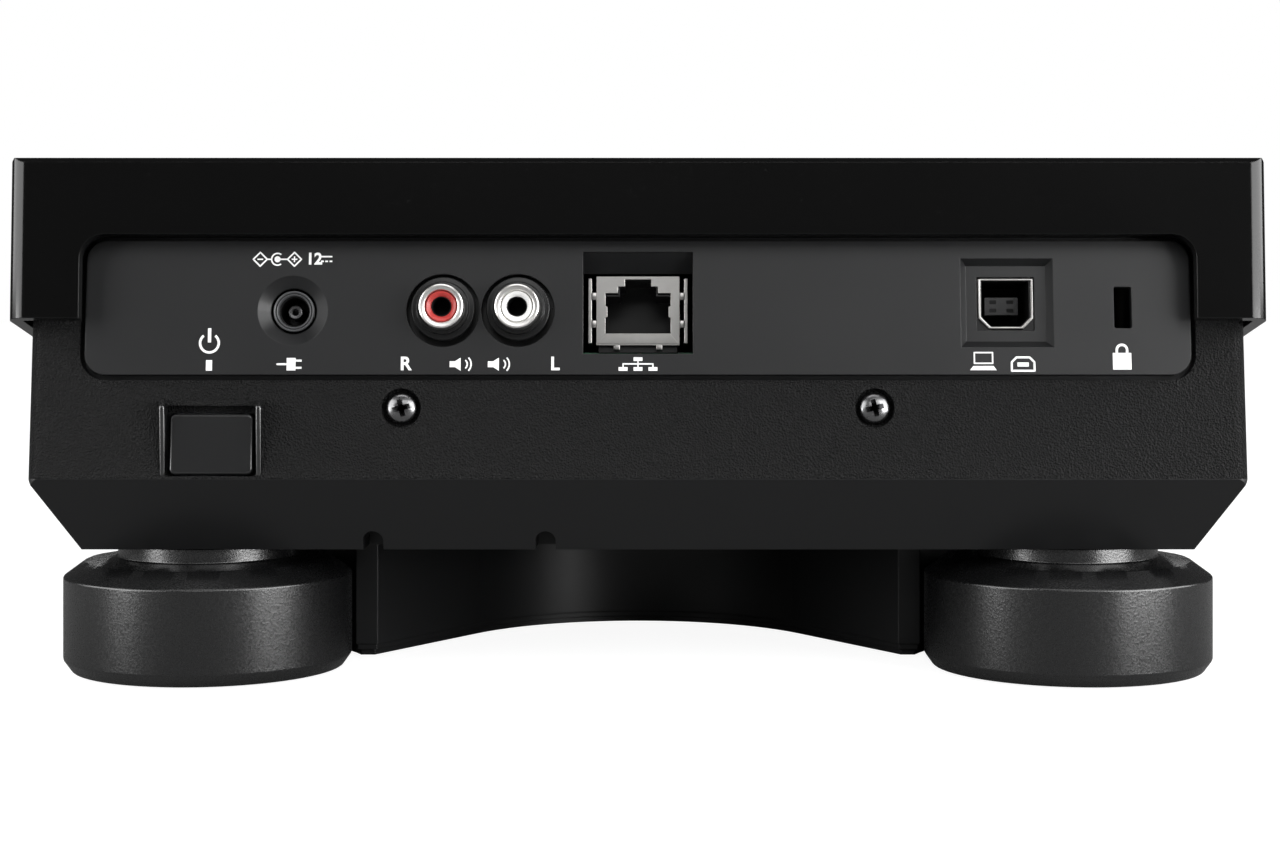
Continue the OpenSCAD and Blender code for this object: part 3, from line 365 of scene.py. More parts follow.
def grey(level, tint=(1.0, 1.0, 1.0)):
    """A grey, or a tint made darker or lighter by the level."""
    return (level * tint[0], level * tint[1], level * tint[2], 1)


COOL = (0.97, 0.99, 1.04)


def towards_edge(x, y, half_w, half_h):
    """0 at the origin, 1 all along the edge of a rectangle of these half sizes."""
    return (x * x / (half_w * half_w)).at_least(y * y / (half_h * half_h))


def gloss_shell():
    """Polished black shell: faint polishing swirls and a few dust-fine scratches."""
    finish = Finish("gloss shell")
    swirl = finish.noise(38, 2)
    dust = finish.ramp(finish.noise(0.7, 2), 0.66, 0.74)
    colour = finish.blend(dust * 0.5, grey(0.0022), grey(0.0045))
    roughness = 0.10 + swirl * 0.05 + dust * 0.06
    return finish.close(colour, roughness, finish.noise(90, 1), 0.03, 0.22, Specular_IOR_Level=0.5)


def grained_plastic(name, level, roughness, cell, depth, painted_glint, shine, soft_edge=0.0):
    """Moulded plastic with a leather-like grain: rounded cells, fine tooth and a slow drift in shade, and
    painted glints that make the grain's peaks lighter.
    """
    finish = Finish(name)
    cells = finish.cells(cell)
    tooth = finish.noise(cell * 0.45, 3, 0.65)
    drift = finish.noise(46, 2)
    grain = cells * 0.65 + tooth * 0.5
    # painted highlight: the grain's peaks get a lighter colour, standing in for glints of light on them
    light = finish.ramp(tooth + cells * 0.4, 0.55, 0.95)
    colour = finish.blend(light * painted_glint + drift * 0.3, grey(level * 0.7, COOL), grey(level * 1.9, COOL))
    rough = roughness + (0.5 - light) * 0.12 + (drift - 0.5) * 0.08
    return finish.close(colour, rough, grain, depth, soft_edge, Specular_IOR_Level=shine)


def satin_plastic(name, level, roughness, shine=0.4, soft_edge=0.0):
    """Fine spark-eroded moulding: a very small tooth and slight handling marks."""
    finish = Finish(name)
    tooth = finish.noise(0.16, 2, 0.6)
    handling = finish.ramp(finish.noise(17, 4), 0.45, 0.75)
    light = tooth * 0.7 + handling * 0.2
    colour = finish.blend(light, grey(level * 0.88, COOL), grey(level * 1.15, COOL))
    rough = roughness + (tooth - 0.5) * 0.06 - handling * 0.04
    return finish.close(colour, rough, tooth, 0.006, soft_edge, Specular_IOR_Level=shine)


def coloured_plastic(name, colour, roughness):
    """Glossy dyed plastic with a slight moulding flow in its shade."""
    finish = Finish(name)
    flow = finish.noise(2.2, 2)
    rough = roughness + (finish.noise(0.3, 2) - 0.5) * 0.08
    base = finish.blend(flow, grey(0.82, colour), colour)
    return finish.close(base, rough, finish.noise(0.5, 1), 0.004)


def plated_metal(name, level, roughness, tint=(1.0, 0.985, 0.955), scratch=0.08):
    """Stamped and plated metal: fine rolled lines, small stains and pits."""
    finish = Finish(name)
    lines = finish.noise(0.35, 2, 0.5, finish.stretched(6.0, 1.0, 1.0))
    stains = finish.ramp(finish.noise(2.6, 3), 0.5, 0.85)
    colour = finish.blend(stains * 0.5, grey(level, tint), grey(level * 0.75, tint))
    rough = roughness + (lines - 0.5) * scratch + stains * 0.08
    return finish.close(colour, rough, lines, 0.0015, Metallic=1.0)


def turned_metal(name, level, roughness, plane, groove=0.35):
    """Metal turned on a lathe: fine rings round the plane's axis."""
    finish = Finish(name, plane)
    x, y = finish.across_and_along()
    radius = (x * x + y * y) ** 0.5
    track = finish.graph.add("ShaderNodeCombineXYZ", None, {0: radius, 1: x * 0.01})
    rings = finish.noise(groove, 2, 0.7, track)
    marks = finish.ramp(finish.noise(9, 4), 0.5, 0.8)
    colour = finish.blend(rings, grey(level * 0.92, COOL), grey(level * 1.05, COOL))
    rough = roughness + (rings - 0.5) * 0.16 + marks * 0.06
    return finish.close(colour, rough, rings, 0.0025, Metallic=1.0)


def dark_rubber():
    """Matt rubber with fine crumbs and a little dust."""
    finish = Finish("rubber")
    crumbs = finish.noise(0.35, 4, 0.7)
    dust = finish.ramp(finish.noise(6, 4), 0.5, 0.72)
    colour = finish.blend(dust * 0.5, grey(0.012), grey(0.03))
    return finish.close(colour, 0.72 + crumbs * 0.15, crumbs, 0.03, Specular_IOR_Level=0.25)


def tinted_lens():
    """The screen's cover: near-black glass whose unlit picture area is a shade bluer than its border."""
    finish = Finish("tinted lens", DECK)
    low, high = (on_plane(DECK, corner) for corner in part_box("screen_lens"))
    x, y = finish.across_and_along()
    border = 7.5 * MM
    half_w = (high.x - low.x) / 2 * MM - border
    half_d = (high.y - low.y) / 2 * MM - border
    middle = (high.y + low.y) / 2 * MM
    picture = 1 - towards_edge(x, y - middle, half_w, half_d).above(1.0)
    smear = finish.ramp(finish.noise(24, 4), 0.5, 0.8)
    colour = finish.blend(picture, (0.002, 0.002, 0.0025, 1), (0.006, 0.008, 0.011, 1))
    return finish.close(colour, 0.04 + smear * 0.05, None, 0, Specular_IOR_Level=0.5, Coat_Weight=0.3)


def circuit_board(name, tint):
    """Solder mask over copper tracks: long thin cells of a lighter green and dull pads."""
    finish = Finish(name)
    tracks = finish.ramp(finish.cells(1.8, 0.0), 0.32, 0.36)
    pads = finish.ramp(finish.noise(1.1, 1), 0.68, 0.7)
    mask = finish.blend(tracks, grey(1.9, tint), tint)
    colour = finish.blend(pads, mask, (0.35, 0.31, 0.22, 1))
    return finish.close(colour, 0.35 + pads * 0.1, tracks, 0.02)


def white_print():
    """Screen-printed ink: slightly uneven in cover, dull against the panel."""
    finish = Finish("white print")
    cover = finish.noise(0.25, 2)
    colour = finish.blend(cover, grey(0.84), grey(0.92))
    return finish.close(colour, 0.55 + cover * 0.1, Specular_IOR_Level=0.3)


def light_guide(name, colour, strength):
    """A clear guide with a faint, slightly cloudy glow."""
    finish = Finish(name)
    cloud = finish.noise(5, 2)
    base = finish.blend(cloud, grey(0.8, colour), colour)
    return finish.close(base, 0.28 + cloud * 0.1, Emission_Color=base, Emission_Strength=strength)


def button_finish(node):
    """Metal turned round a button's own axis."""
    return turned_metal("spun " + node, 0.26, 0.4, spot(DECK, *centre(node, DECK)))


def button_with_painted_rim_highlight():
    """The power button's satin face, with a painted highlight: a lighter line round its edge."""
    low, high = extent("power_button", REAR)
    half = (high - low) / 2 * MM
    finish = Finish("button satin, painted rim highlight", spot(REAR, *centre("power_button", REAR)))
    x, y = finish.across_and_along()
    # painted highlight: the colour turns much lighter in a thin band all round the button's edge
    rim = towards_edge(x, y, half.x, half.y).above(0.9)
    tooth = finish.noise(0.16, 2, 0.6)
    face = finish.blend(tooth * 0.7, grey(0.0075, COOL), grey(0.0105, COOL))
    colour = finish.blend(rim, face, grey(0.16, COOL))
    return finish.close(colour, 0.25 + (tooth - 0.5) * 0.06, tooth, 0.006, Specular_IOR_Level=0.8)


PAINT = {
    "shell_gloss": gloss_shell(),
    "face_satin": satin_plastic("face satin", 0.016, 0.42, soft_edge=0.15),
    "chassis_grain": grained_plastic("chassis grain", 0.0022, 0.33, cell=0.36, depth=0.62,
                                     painted_glint=0.9, shine=0.22, soft_edge=0.25),
    "pan_satin": satin_plastic("pan satin", 0.0064, 0.38, shine=0.38, soft_edge=0.3),
    "foot_satin": grained_plastic("foot grain", 0.0045, 0.24, cell=0.4, depth=0.02,
                                  painted_glint=0.25, shine=0.8),
    "rubber": dark_rubber(),
    "panel_satin": satin_plastic("panel satin", 0.0108, 0.40, shine=0.38, soft_edge=0.2),
    "button_satin": button_with_painted_rim_highlight(),
    "guard": satin_plastic("guard satin", 0.008, 0.16, shine=1.0),
    "socket_black": satin_plastic("socket black", 0.004, 0.3, shine=0.5, soft_edge=0.1),
    "inlet_grey": satin_plastic("inlet grey", 0.075, 0.35, shine=0.5),
    "inlet_cone": satin_plastic("inlet cone", 0.014, 0.26, shine=0.7),
    "nickel": plated_metal("nickel", 0.52, 0.3),
    "ring_plate": plated_metal("ring plating", 0.86, 0.3),
    "red_plastic": coloured_plastic("red plastic", (0.46, 0.045, 0.04, 1), 0.32),
    "white_plastic": coloured_plastic("white plastic", (0.86, 0.86, 0.84, 1), 0.3),
    "screw_steel": plated_metal("black zinc", 0.20, 0.26, (1, 1, 1.02)),
    "lens": tinted_lens(),
    "display": satin_plastic("display frame", 0.05, 0.4),
    "board": circuit_board("circuit board", (0.012, 0.085, 0.04, 1)),
    "sheet_steel": plated_metal("zinc sheet", 0.45, 0.34, (0.98, 1, 1.01), scratch=0.14),
    "rod_steel": plated_metal("ground rod", 0.62, 0.18, (0.99, 1, 1.01), scratch=0.05),
    "brass": plated_metal("brass", 0.62, 0.26, (1.0, 0.76, 0.33)),
    "gold": plated_metal("gold contacts", 0.7, 0.22, (1.0, 0.78, 0.38)),
    "key_satin": satin_plastic("key satin", 0.045, 0.4),
    "button_metal": turned_metal("spun button", 0.26, 0.4, DECK),
    "cue_metal": button_finish("cue_button"),
    "play_metal": button_finish("play_button"),
    "jog_black": satin_plastic("jog satin", 0.014, 0.36, shine=0.5),
    "jog_metal": turned_metal("spun jog plate", 0.22, 0.42, DECK, groove=0.5),
    "knob_black": satin_plastic("knob satin", 0.014, 0.4),
    "knob_metal": turned_metal("spun knob cap", 0.26, 0.36,
                               spot(DECK, *centre("selector_knob", DECK))),
    "light_guide": light_guide("slot light", (0.72, 0.80, 0.88, 1), 0.15),
    "green_light": light_guide("play light", (0.10, 0.75, 0.25, 1), 0.8),
    "amber_light": light_guide("cue light", (0.95, 0.42, 0.06, 1), 0.8),
    "inner_plastic": satin_plastic("inner plastic", 0.05, 0.5, soft_edge=0.2),
    "print": white_print(),
    # near-black and dull: real black plastic in the sockets' throats and walls, and painted shade on the
    # pin sleeves and contact slots deep inside
    "cavity": satin_plastic("hollow black and painted shade", 0.003, 0.6, shine=0.2),
}


def paint_frame():
    """Every CAD node gets the finish of its slot in the record."""
    for part in frame["record"]["subparts"]:
        mesh = nodes[part["node"]].data
        mesh.materials.clear()
        mesh.materials.append(PAINT[part["material_slot"]])


paint_frame()


# ---- pieces ------------------------------------------------------------------


def add_piece(name, mesh, body, paint, place=None):
    """Puts a mesh in the scene as a finished piece that rides on a body."""
    if place is not None:
        mesh.transform(place)
    mesh.materials.clear()
    mesh.materials.append(PAINT[paint])
    piece = bpy.data.objects.new(name, mesh)
    scene.collection.objects.link(piece)
    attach(piece, body)
    return piece


def plain_mesh(holder):
    """A mesh of what an object's modifiers or its curve make."""
    bpy.context.view_layer.update()
    view = bpy.context.evaluated_depsgraph_get()
    return bpy.data.meshes.new_from_object(holder.evaluated_get(view), depsgraph=view)


def baked(piece):
    """Applies a piece's modifiers and leaves it a plain mesh."""
    mesh = plain_mesh(piece)
    piece.modifiers.clear()
    old = piece.data
    piece.data = mesh
    bpy.data.meshes.remove(old)
    return piece


def body_of(node):
    """The body that a CAD node rides on."""
    return nodes[node]["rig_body"]


def mesh_of(name, build):
    """A mesh from a function that fills a bmesh."""
    work = bmesh.new()
    build(work)
    bmesh.ops.recalc_face_normals(work, faces=work.faces)
    mesh = bpy.data.meshes.new(name)
    work.to_mesh(mesh)
    work.free()
    return mesh


def round_edges(piece, width, segments=2):
    """Rounds every edge that turns by more than 30 degrees. width is in millimetres."""
    bevel = piece.modifiers.new("edges", "BEVEL")
    bevel.width = width * MM
    bevel.segments = segments
    bevel.limit_method = "ANGLE"
    bevel.angle_limit = math.radians(30)
    bevel.use_clamp_overlap = False
    weigh = piece.modifiers.new("shading", "WEIGHTED_NORMAL")
    weigh.mode = "FACE_AREA"
    weigh.weight = 90
    piece.data.shade_smooth()
    return baked(piece)


def softened(node, width, paint=None, segments=2):
    """A copy of a CAD node with rounded edges, which then stands for the node."""
    slot = next(part["material_slot"] for part in frame["record"]["subparts"] if part["node"] == node)
    work = bmesh.new()
    work.from_mesh(nodes[node].data)
    bmesh.ops.remove_doubles(work, verts=work.verts, dist=WELD)
    bmesh.ops.dissolve_limit(work, angle_limit=math.radians(0.4), verts=work.verts, edges=work.edges)
    mesh = bpy.data.meshes.new(node + "_rounded")
    work.to_mesh(mesh)
    work.free()
    piece = add_piece(node + "_rounded", mesh, body_of(node), paint or slot)
    round_edges(piece, width, segments)
    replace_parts(piece, node)


def lathed(name, profile, steps):
    """A mesh spun round Z. profile is a closed list of (radius, height) in millimetres."""

    def build(work):
        for radius, height in profile:
            for step in range(steps):
                angle = 2 * math.pi * step / steps
                work.verts.new((radius * math.cos(angle) * MM, radius * math.sin(angle) * MM, height * MM))
        work.verts.ensure_lookup_table()
        rows = len(profile)
        for row in range(rows):
            below = row * steps
            above = (row + 1) % rows * steps
            for step in range(steps):
                after = (step + 1) % steps
                corners = (below + step, below + after, above + after, above + step)
                work.faces.new([work.verts[corner] for corner in corners])
        bmesh.ops.remove_doubles(work, verts=work.verts, dist=TOUCH)
        bmesh.ops.dissolve_degenerate(work, edges=work.edges, dist=TOUCH)

    return mesh_of(name, build)


def keep_corners(mesh, angle):
    """Smooth shading that keeps each edge sharp that turns by more than an angle in degrees."""
    mesh.shade_smooth()
    mesh.set_sharp_from_angle(angle=math.radians(angle))


def turned(name, profile, body, paint, places, steps=64):
    """One piece of the same lathed form at each place, along the place's out axis."""
    single = lathed(name, profile, steps)
    work = bmesh.new()
    for place in places:
        copy = single.copy()
        copy.transform(place)
        work.from_mesh(copy)
        bpy.data.meshes.remove(copy)
    work.to_mesh(single)
    work.free()
    keep_corners(single, 32)
    return add_piece(name, single, body, paint)


def plate(name, outline, holes, low, high, paint, place, edge=0.0):
    """An outline with holes, in millimetres, raised from low to high. It rides on the case."""

    def build(work):
        edges = []
        for loop in [outline] + holes:
            ring = [work.verts.new((x * MM, y * MM, low * MM)) for x, y in loop]
            edges += [work.edges.new((a, b)) for a, b in zip(ring, ring[1:] + ring[:1])]
        bmesh.ops.triangle_fill(work, use_beauty=True, use_dissolve=True, edges=edges)
        raised = bmesh.ops.extrude_face_region(work, geom=work.faces[:])
        top = [item for item in raised["geom"] if isinstance(item, bmesh.types.BMVert)]
        bmesh.ops.translate(work, verts=top, vec=(0, 0, (high - low) * MM))

    piece = add_piece(name, mesh_of(name, build), "case", paint, place)
    if edge:
        round_edges(piece, edge)
    return piece


def merged(name, pieces, paint):
    """Joins pieces of one body into one."""
    work = bmesh.new()
    for piece in pieces:
        work.from_mesh(piece.data)
    mesh = bpy.data.meshes.new(name)
    work.to_mesh(mesh)
    work.free()
    body = pieces[0]["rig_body"]
    for piece in pieces:
        old = piece.data
        bpy.data.objects.remove(piece)
        bpy.data.meshes.remove(old)
    return add_piece(name, mesh, body, paint)


def rectangle(w, h, x=0.0, y=0.0):
    """The corners of a rectangle round (x, y)."""
    left, right = x - w / 2, x + w / 2
    low, high = y - h / 2, y + h / 2
    return [(left, low), (right, low), (right, high), (left, high)]


# ---- repeated pieces ---------------------------------------------------------


class Recipe:
    """A Geometry Nodes tree with named sizes in metres, grown once into a plain mesh."""

    KINDS = {int: "NodeSocketInt", float: "NodeSocketFloat", tuple: "NodeSocketVector"}

    def __init__(self, name, paint, **sizes):
        self.name = name
        self.paint = paint
        self.sizes = sizes
        self.tree = bpy.data.node_groups.new(name, "GeometryNodeTree")
        self.graph = Graph(self.tree)
        self.tree.interface.new_socket("Geometry", in_out="OUTPUT", socket_type="NodeSocketGeometry")
        for label, value in sizes.items():
            self.tree.interface.new_socket(label, in_out="INPUT", socket_type=self.KINDS[type(value)])
        self.given = self.graph.add("NodeGroupInput")

    def size(self, label):
        """The recipe's named input."""
        return self.given.beside(label)

    def grow(self, body, place, points, instance, rotation=None, spots=None):
        """Sets the instance on each point, and returns the piece as a plain mesh."""
        sockets = {"Points": points, "Instance": instance}
        if rotation is not None:
            sockets["Rotation"] = rotation
        copies = self.graph.add("GeometryNodeInstanceOnPoints", None, sockets)
        solid = self.graph.add("GeometryNodeRealizeInstances", None, {0: copies})
        finish = {"Geometry": solid, "Material": PAINT[self.paint]}
        painted = self.graph.add("GeometryNodeSetMaterial", None, finish)
        self.graph.add("NodeGroupOutput", None, {0: painted})
        holder = bpy.data.objects.new(self.name, spots or bpy.data.meshes.new(self.name))
        scene.collection.objects.link(holder)
        modifier = holder.modifiers.new("grow", "NODES")
        modifier.node_group = self.tree
        for item in self.tree.interface.items_tree:
            if item.in_out == "INPUT" and item.name in self.sizes:
                modifier[item.identifier] = self.sizes[item.name]
        baked(holder)
        mesh = holder.data
        bpy.data.objects.remove(holder)
        return add_piece(self.name, mesh, body, self.paint, place)


def metres(sizes):
    """Sizes in millimetres as a plain tuple of metres."""
    return tuple(size * MM for size in sizes)


def row_of_bars(name, paint, body, place, count, step, bar):
    """count bars, step apart, centred on the place. step and bar are (x, y, z) in millimetres."""
    recipe = Recipe(name, paint, Count=count, Step=metres(step), Bar=metres(bar))
    start = tuple(-s * MM * (count - 1) / 2 for s in step)
    sockets = {"Count": recipe.size("Count"), "Start Location": start, "Offset": recipe.size("Step")}
    line = recipe.graph.add("GeometryNodeMeshLine", {"mode": "OFFSET"}, sockets)
    cube = recipe.graph.add("GeometryNodeMeshCube", None, {"Size": recipe.size("Bar")})
    return recipe.grow(body, place, line, cube)


def round_the_axis(recipe, body, place, shape):
    """Count copies of a shape on a circle of the recipe's Radius, each turned to face the axis."""
    sockets = {"Vertices": recipe.size("Count"), "Radius": recipe.size("Radius")}
    circle = recipe.graph.add("GeometryNodeMeshCircle", None, sockets)
    turn = recipe.graph.add("GeometryNodeInputIndex") * (2 * math.pi / recipe.sizes["Count"])
    euler = recipe.graph.add("ShaderNodeCombineXYZ", None, {2: turn})
    facing = recipe.graph.add("FunctionNodeEulerToRotation", None, {0: euler})
    return recipe.grow(body, place, circle, shape, facing)


def ring_of_bars(name, paint, body, place, count, radius, bar):
    """Bars round the place's out axis. bar is (radial, round, out) in millimetres."""
    recipe = Recipe(name, paint, Count=count, Radius=radius * MM, Bar=metres(bar))
    cube = recipe.graph.add("GeometryNodeMeshCube", None, {"Size": recipe.size("Bar")})
    return round_the_axis(recipe, body, place, cube)


def ring_of_studs(name, paint, body, place, count, radius, stud):
    """Low domes round the place's out axis. stud is its (radial, round, out) half sizes."""
    recipe = Recipe(name, paint, Count=count, Radius=radius * MM, Stud=metres(stud))
    sizes = {"Segments": 14, "Rings": 7, "Radius": 1.0}
    ball = recipe.graph.add("GeometryNodeMeshUVSphere", None, sizes)
    smooth = recipe.graph.add("GeometryNodeSetShadeSmooth", None, {0: ball})
    scaling = {"Geometry": smooth, "Scale": recipe.size("Stud")}
    shaped = recipe.graph.add("GeometryNodeTransform", None, scaling)
    return round_the_axis(recipe, body, place, shaped)


def at_each(name, paint, place, spots, shape):
    """A copy of a mesh at each spot: (x, y, z) in millimetres on the place's own axes."""
    recipe = Recipe(name, paint)
    recipe.tree.interface.new_socket("Spots", in_out="INPUT", socket_type="NodeSocketGeometry")
    holder = bpy.data.objects.new(name + " shape", shape)
    scene.collection.objects.link(holder)
    source = recipe.graph.add("GeometryNodeObjectInfo", None, {"Object": holder}, out="Geometry")
    points = bpy.data.meshes.new(name + " spots")
    points.from_pydata([metres(spot_mm) for spot_mm in spots], [], [])
    piece = recipe.grow("case", place, recipe.size("Spots"), source, None, points)
    bpy.data.objects.remove(holder)
    return piece


# ---- printed marks -----------------------------------------------------------


class Pen:
    """Draws flat marks in millimetres, then prints them as one thin raised piece."""

    INK = 0.025     # how far the print stands proud

    def __init__(self):
        self.shapes = []

    def fill(self, points):
        self.shapes.append(list(points))
        return self

    def bar(self, x, y, w, h):
        return self.fill(rectangle(w, h, x, y))

    def line(self, start, end, width=0.3):
        along = Vector((end[0] - start[0], end[1] - start[1]))
        side = Vector((-along.y, along.x)).normalized() * width / 2
        a = Vector(start)
        b = Vector(end)
        return self.fill([a - side, b - side, b + side, a + side])

    def path(self, points, width=0.3, closed=False):
        ends = points[1:] + points[:1] if closed else points[1:]
        for start, end in zip(points, ends):
            self.line(start, end, width)
            self.dot(start[0], start[1], width / 2)
        if not closed:
            self.dot(points[-1][0], points[-1][1], width / 2)
        return self

    def arc(self, x, y, radius, width=0.3, start=0, end=360):
        steps = max(6, int(abs(end - start) / 9))
        angles = [math.radians(start + (end - start) * step / steps) for step in range(steps + 1)]
        inner = radius - width / 2
        outer = radius + width / 2
        for a, b in zip(angles, angles[1:]):
            corners = [(inner, a), (outer, a), (outer, b), (inner, b)]
            self.fill([(x + r * math.cos(t), y + r * math.sin(t)) for r, t in corners])
        return self

    def dot(self, x, y, radius):
        angles = [2 * math.pi * step / 20 for step in range(20)]
        return self.fill([(x + radius * math.cos(a), y + radius * math.sin(a)) for a in angles])

    def triangle(self, x, y, size, turn=0):
        angles = [math.radians(turn + 120 * corner) for corner in range(3)]
        return self.fill([(x + size * math.cos(a), y + size * math.sin(a)) for a in angles])

    def press(self, name, place, body="case", paint="print"):
        def build(work):
            for shape in self.shapes:
                ring = [work.verts.new((p[0] * MM, p[1] * MM, 0)) for p in shape]
                face = work.faces.new(ring)
                raised = bmesh.ops.extrude_face_region(work, geom=[face])
                top = [item for item in raised["geom"] if isinstance(item, bmesh.types.BMVert)]
                bmesh.ops.translate(work, verts=top, vec=(0, 0, self.INK * MM))

        return add_piece(name, mesh_of(name, build), body, paint, place)


def character(name, text, height, place):
    """A plain number or letter on the case, centred on the place."""
    curve = bpy.data.curves.new(name, "FONT")
    curve.body = text
    curve.size = height * 1.4 * MM      # capitals are about 0.7 of the font's size
    curve.extrude = Pen.INK / 2 * MM
    curve.offset = 0.08 * MM            # strokes bolder by this on each side
    curve.align_x = "CENTER"
    curve.align_y = "CENTER"
    holder = bpy.data.objects.new(name, curve)
    scene.collection.objects.link(holder)
    mesh = plain_mesh(holder)
    bpy.data.objects.remove(holder)
    return add_piece(name, mesh, "case", "print", place)


# ---- rounded CAD nodes -------------------------------------------------------

EDGE_WIDTHS = {
    "rear_feet": 0.25, "front_bezel": 0.25, "eject_button": 0.3, "jog_wheel": 0.4,
    "jog_plate": 0.3, "selector_knob": 0.3, "tempo_slider": 0.3, "audio_housing": 0.2,
    "computer_socket": 0.12, "memory_port": 0.12, "display_module": 0.2, "slot_light": 0.1,
}


def round_the_frame():
    """Softens the moulded nodes' edges, some of them with a finish of their own."""
    for node, width in EDGE_WIDTHS.items():
        softened(node, width)
    softened("power_button", 0.5, "button_satin", 3)
    softened("dc_inlet", 0.12, "inlet_cone")
    for node in nodes:
        if node.endswith("_key"):
            softened(node, 0.3)
    softened("cue_button", 0.5, "cue_metal")
    softened("play_button", 0.5, "play_metal")


round_the_frame()


# ---- fittings in the connector panel -----------------------------------------


def at_mount(name, plane=REAR):
    """The plane moved along itself to a mount."""
    place = on_plane(plane, Vector(mounts[name]["pos_m"]))
    return spot(plane, place.x, place.y, 0)


def audio_sockets():
    """Plated rings with a rolled rim, funnelled inserts and the stepped collars behind them."""
    faces = [spot(REAR, *outer_middle(low, high)) for low, high in solids_of("audio_rings", REAR)]
    rim = [(3.75, -11.3), (3.75, -0.34), (3.66, -0.12), (3.48, 0), (2.98, 0), (2.8, -0.1),
           (2.66, -0.42), (2.66, -11.3)]
    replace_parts(turned("audio_ring_rims", rim, "case", "ring_plate", faces, 96), "audio_rings")
    collar = [(3.82, -4.8), (5.35, -4.8), (5.35, -4.1), (5.2, -3.95), (4.5, -3.9), (4.42, -3.8),
              (4.42, -3.0), (4.3, -2.85), (3.82, -2.8)]
    turned("audio_collars", collar, "case", "socket_black", faces, 96)
    funnel = [(0, -6.0), (1.66, -6.0), (1.66, -0.62), (1.74, -0.5), (2.2, -0.12), (2.32, -0.04),
              (2.42, 0), (2.52, -0.05), (2.6, -0.25), (2.6, -11), (0, -11)]
    for colour in ("red", "white"):
        node = "audio_insert_" + colour
        face = turned(node + "_face", funnel, "case", colour + "_plastic", [on_face(node, REAR)], 96)
        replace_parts(face, node)
    # painted shade: a dark sleeve and floor in each pin hole, where the metal contact sits in shade
    sleeve = [(0, -5.98), (1.5, -5.98), (1.5, -0.95), (1.56, -0.85), (1.64, -0.85), (1.64, -5.99),
              (0, -5.99)]
    turned("audio_sleeves", sleeve, "case", "cavity", faces, 64)


def power_inlet():
    """The inlet's grey lip, its dark inner wall, the hollow centre pin and a bead on the flare."""
    place = at_mount("power_inlet")
    lip = [(2.64, -2.2), (3.43, -2.2), (3.43, -1.05), (3.36, -0.94), (3.24, -0.9), (3.16, -0.96),
           (3.08, -1.2), (2.98, -1.26), (2.92, -1.1), (2.84, -1.02), (2.74, -1.08), (2.64, -1.3)]
    turned("inlet_lip", lip, "case", "inlet_grey", [place], 96)
    wall = [(2.4, -10.8), (2.74, -10.8), (2.74, -2.2), (2.4, -2.25)]
    turned("inlet_wall", wall, "case", "cavity", [place])
    pin = [(0, -6.0), (0.5, -5.9), (0.5, -2.75), (0.62, -2.62), (1.0, -2.6), (1.14, -2.68),
           (1.2, -2.85), (1.2, -10.9), (0, -10.9)]
    turned("inlet_pin", pin, "case", "screw_steel", [place], 48)
    bead = [(4.35, -1.6), (4.6, -1.3), (4.66, -1.32), (4.66, -1.7), (4.35, -1.7)]
    turned("inlet_bead", bead, "case", "inlet_grey", [place], 96)


def network_mouth(grow=0.0, bumps=()):
    """The mouth's outline: wide below, with two steps up. bumps are points on its right wall."""
    wall = 5.55 + grow
    right = [(wall, 24.75 - grow)] + list(bumps)
    right += [(wall, 31.6 + grow), (3.4 + grow, 31.6 + grow), (3.4 + grow, 32.75 + grow),
              (2.25 + grow, 32.75 + grow), (2.25 + grow, 33.95 + grow)]
    left = [(-x, y) for x, y in reversed(right)]
    return left[-1:] + right + left[:-1]


def network_socket():
    """A folded metal shell: pierced face, sloped lip, latch tabs and spring fingers at its sides."""
    origin = at_mount("network_port")
    origin = spot(origin, 0, -on_plane(REAR, origin.translation).y)
    low, high = extent("network_socket", REAR)
    face = high.z
    sheet = 0.35        # thickness of the folded metal
    middle = 28.6       # height of the shell's middle above the crease
    pierced = network_mouth(0.0, [(5.55, 27.4), (5.2, 27.55), (5.2, 29.3), (5.55, 29.45)])
    outer = rectangle(14.1, 11.6, 0, middle)
    inner = rectangle(13.3, 10.8, 0, middle)
    foot = rectangle(13.4, 1.2, 0, 22.15)
    shell = [
        plate("network_face", rectangle(14.2, 11.75, 0, middle), [pierced], face - sheet, face,
              "nickel", origin, 0.07),
        plate("network_walls", outer, [inner], low.z, face - sheet, "nickel", origin),
        plate("network_foot", foot, [], low.z, face - 1.2, "socket_black", origin),
    ]
    for piece in shell:
        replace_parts(piece, "network_socket")
    lip = [(-6.95, 22.95), (6.95, 22.95), (5.5, 24.6), (-5.5, 24.6)]
    plate("network_lip", lip, [], face - 0.05, face + 0.14, "nickel", origin, 0.06)
    plate("network_throat", network_mouth(0.2), [network_mouth()], face - 9.0, face - sheet,
          "cavity", origin)

    def tab(outline, back, front, edge):
        return plate("tab", outline, [], face - back, face - front, "nickel", origin, edge)

    tabs = [tab(rectangle(1.05, 0.95, x, 22.45), 1.6, 0.12, 0.08) for x in (-3.6, 3.62)]
    for side in (-1, 1):
        for y in (26.35, 31.1):
            tabs.append(tab(rectangle(0.85, 1.25, side * 7.45, y), 0.9, 0.1, 0.08))
        tabs.append(tab(rectangle(0.62, 11.1, side * 8.16, middle), 9, 0.25, 0.1))
    merged("network_springs", tabs, "nickel")
    contacts = spot(origin, 0, 25.4, face - 11)
    row_of_bars("network_contacts", "gold", "case", contacts, 8, (1.02, 0, 0), (0.36, 0.3, 4.5))


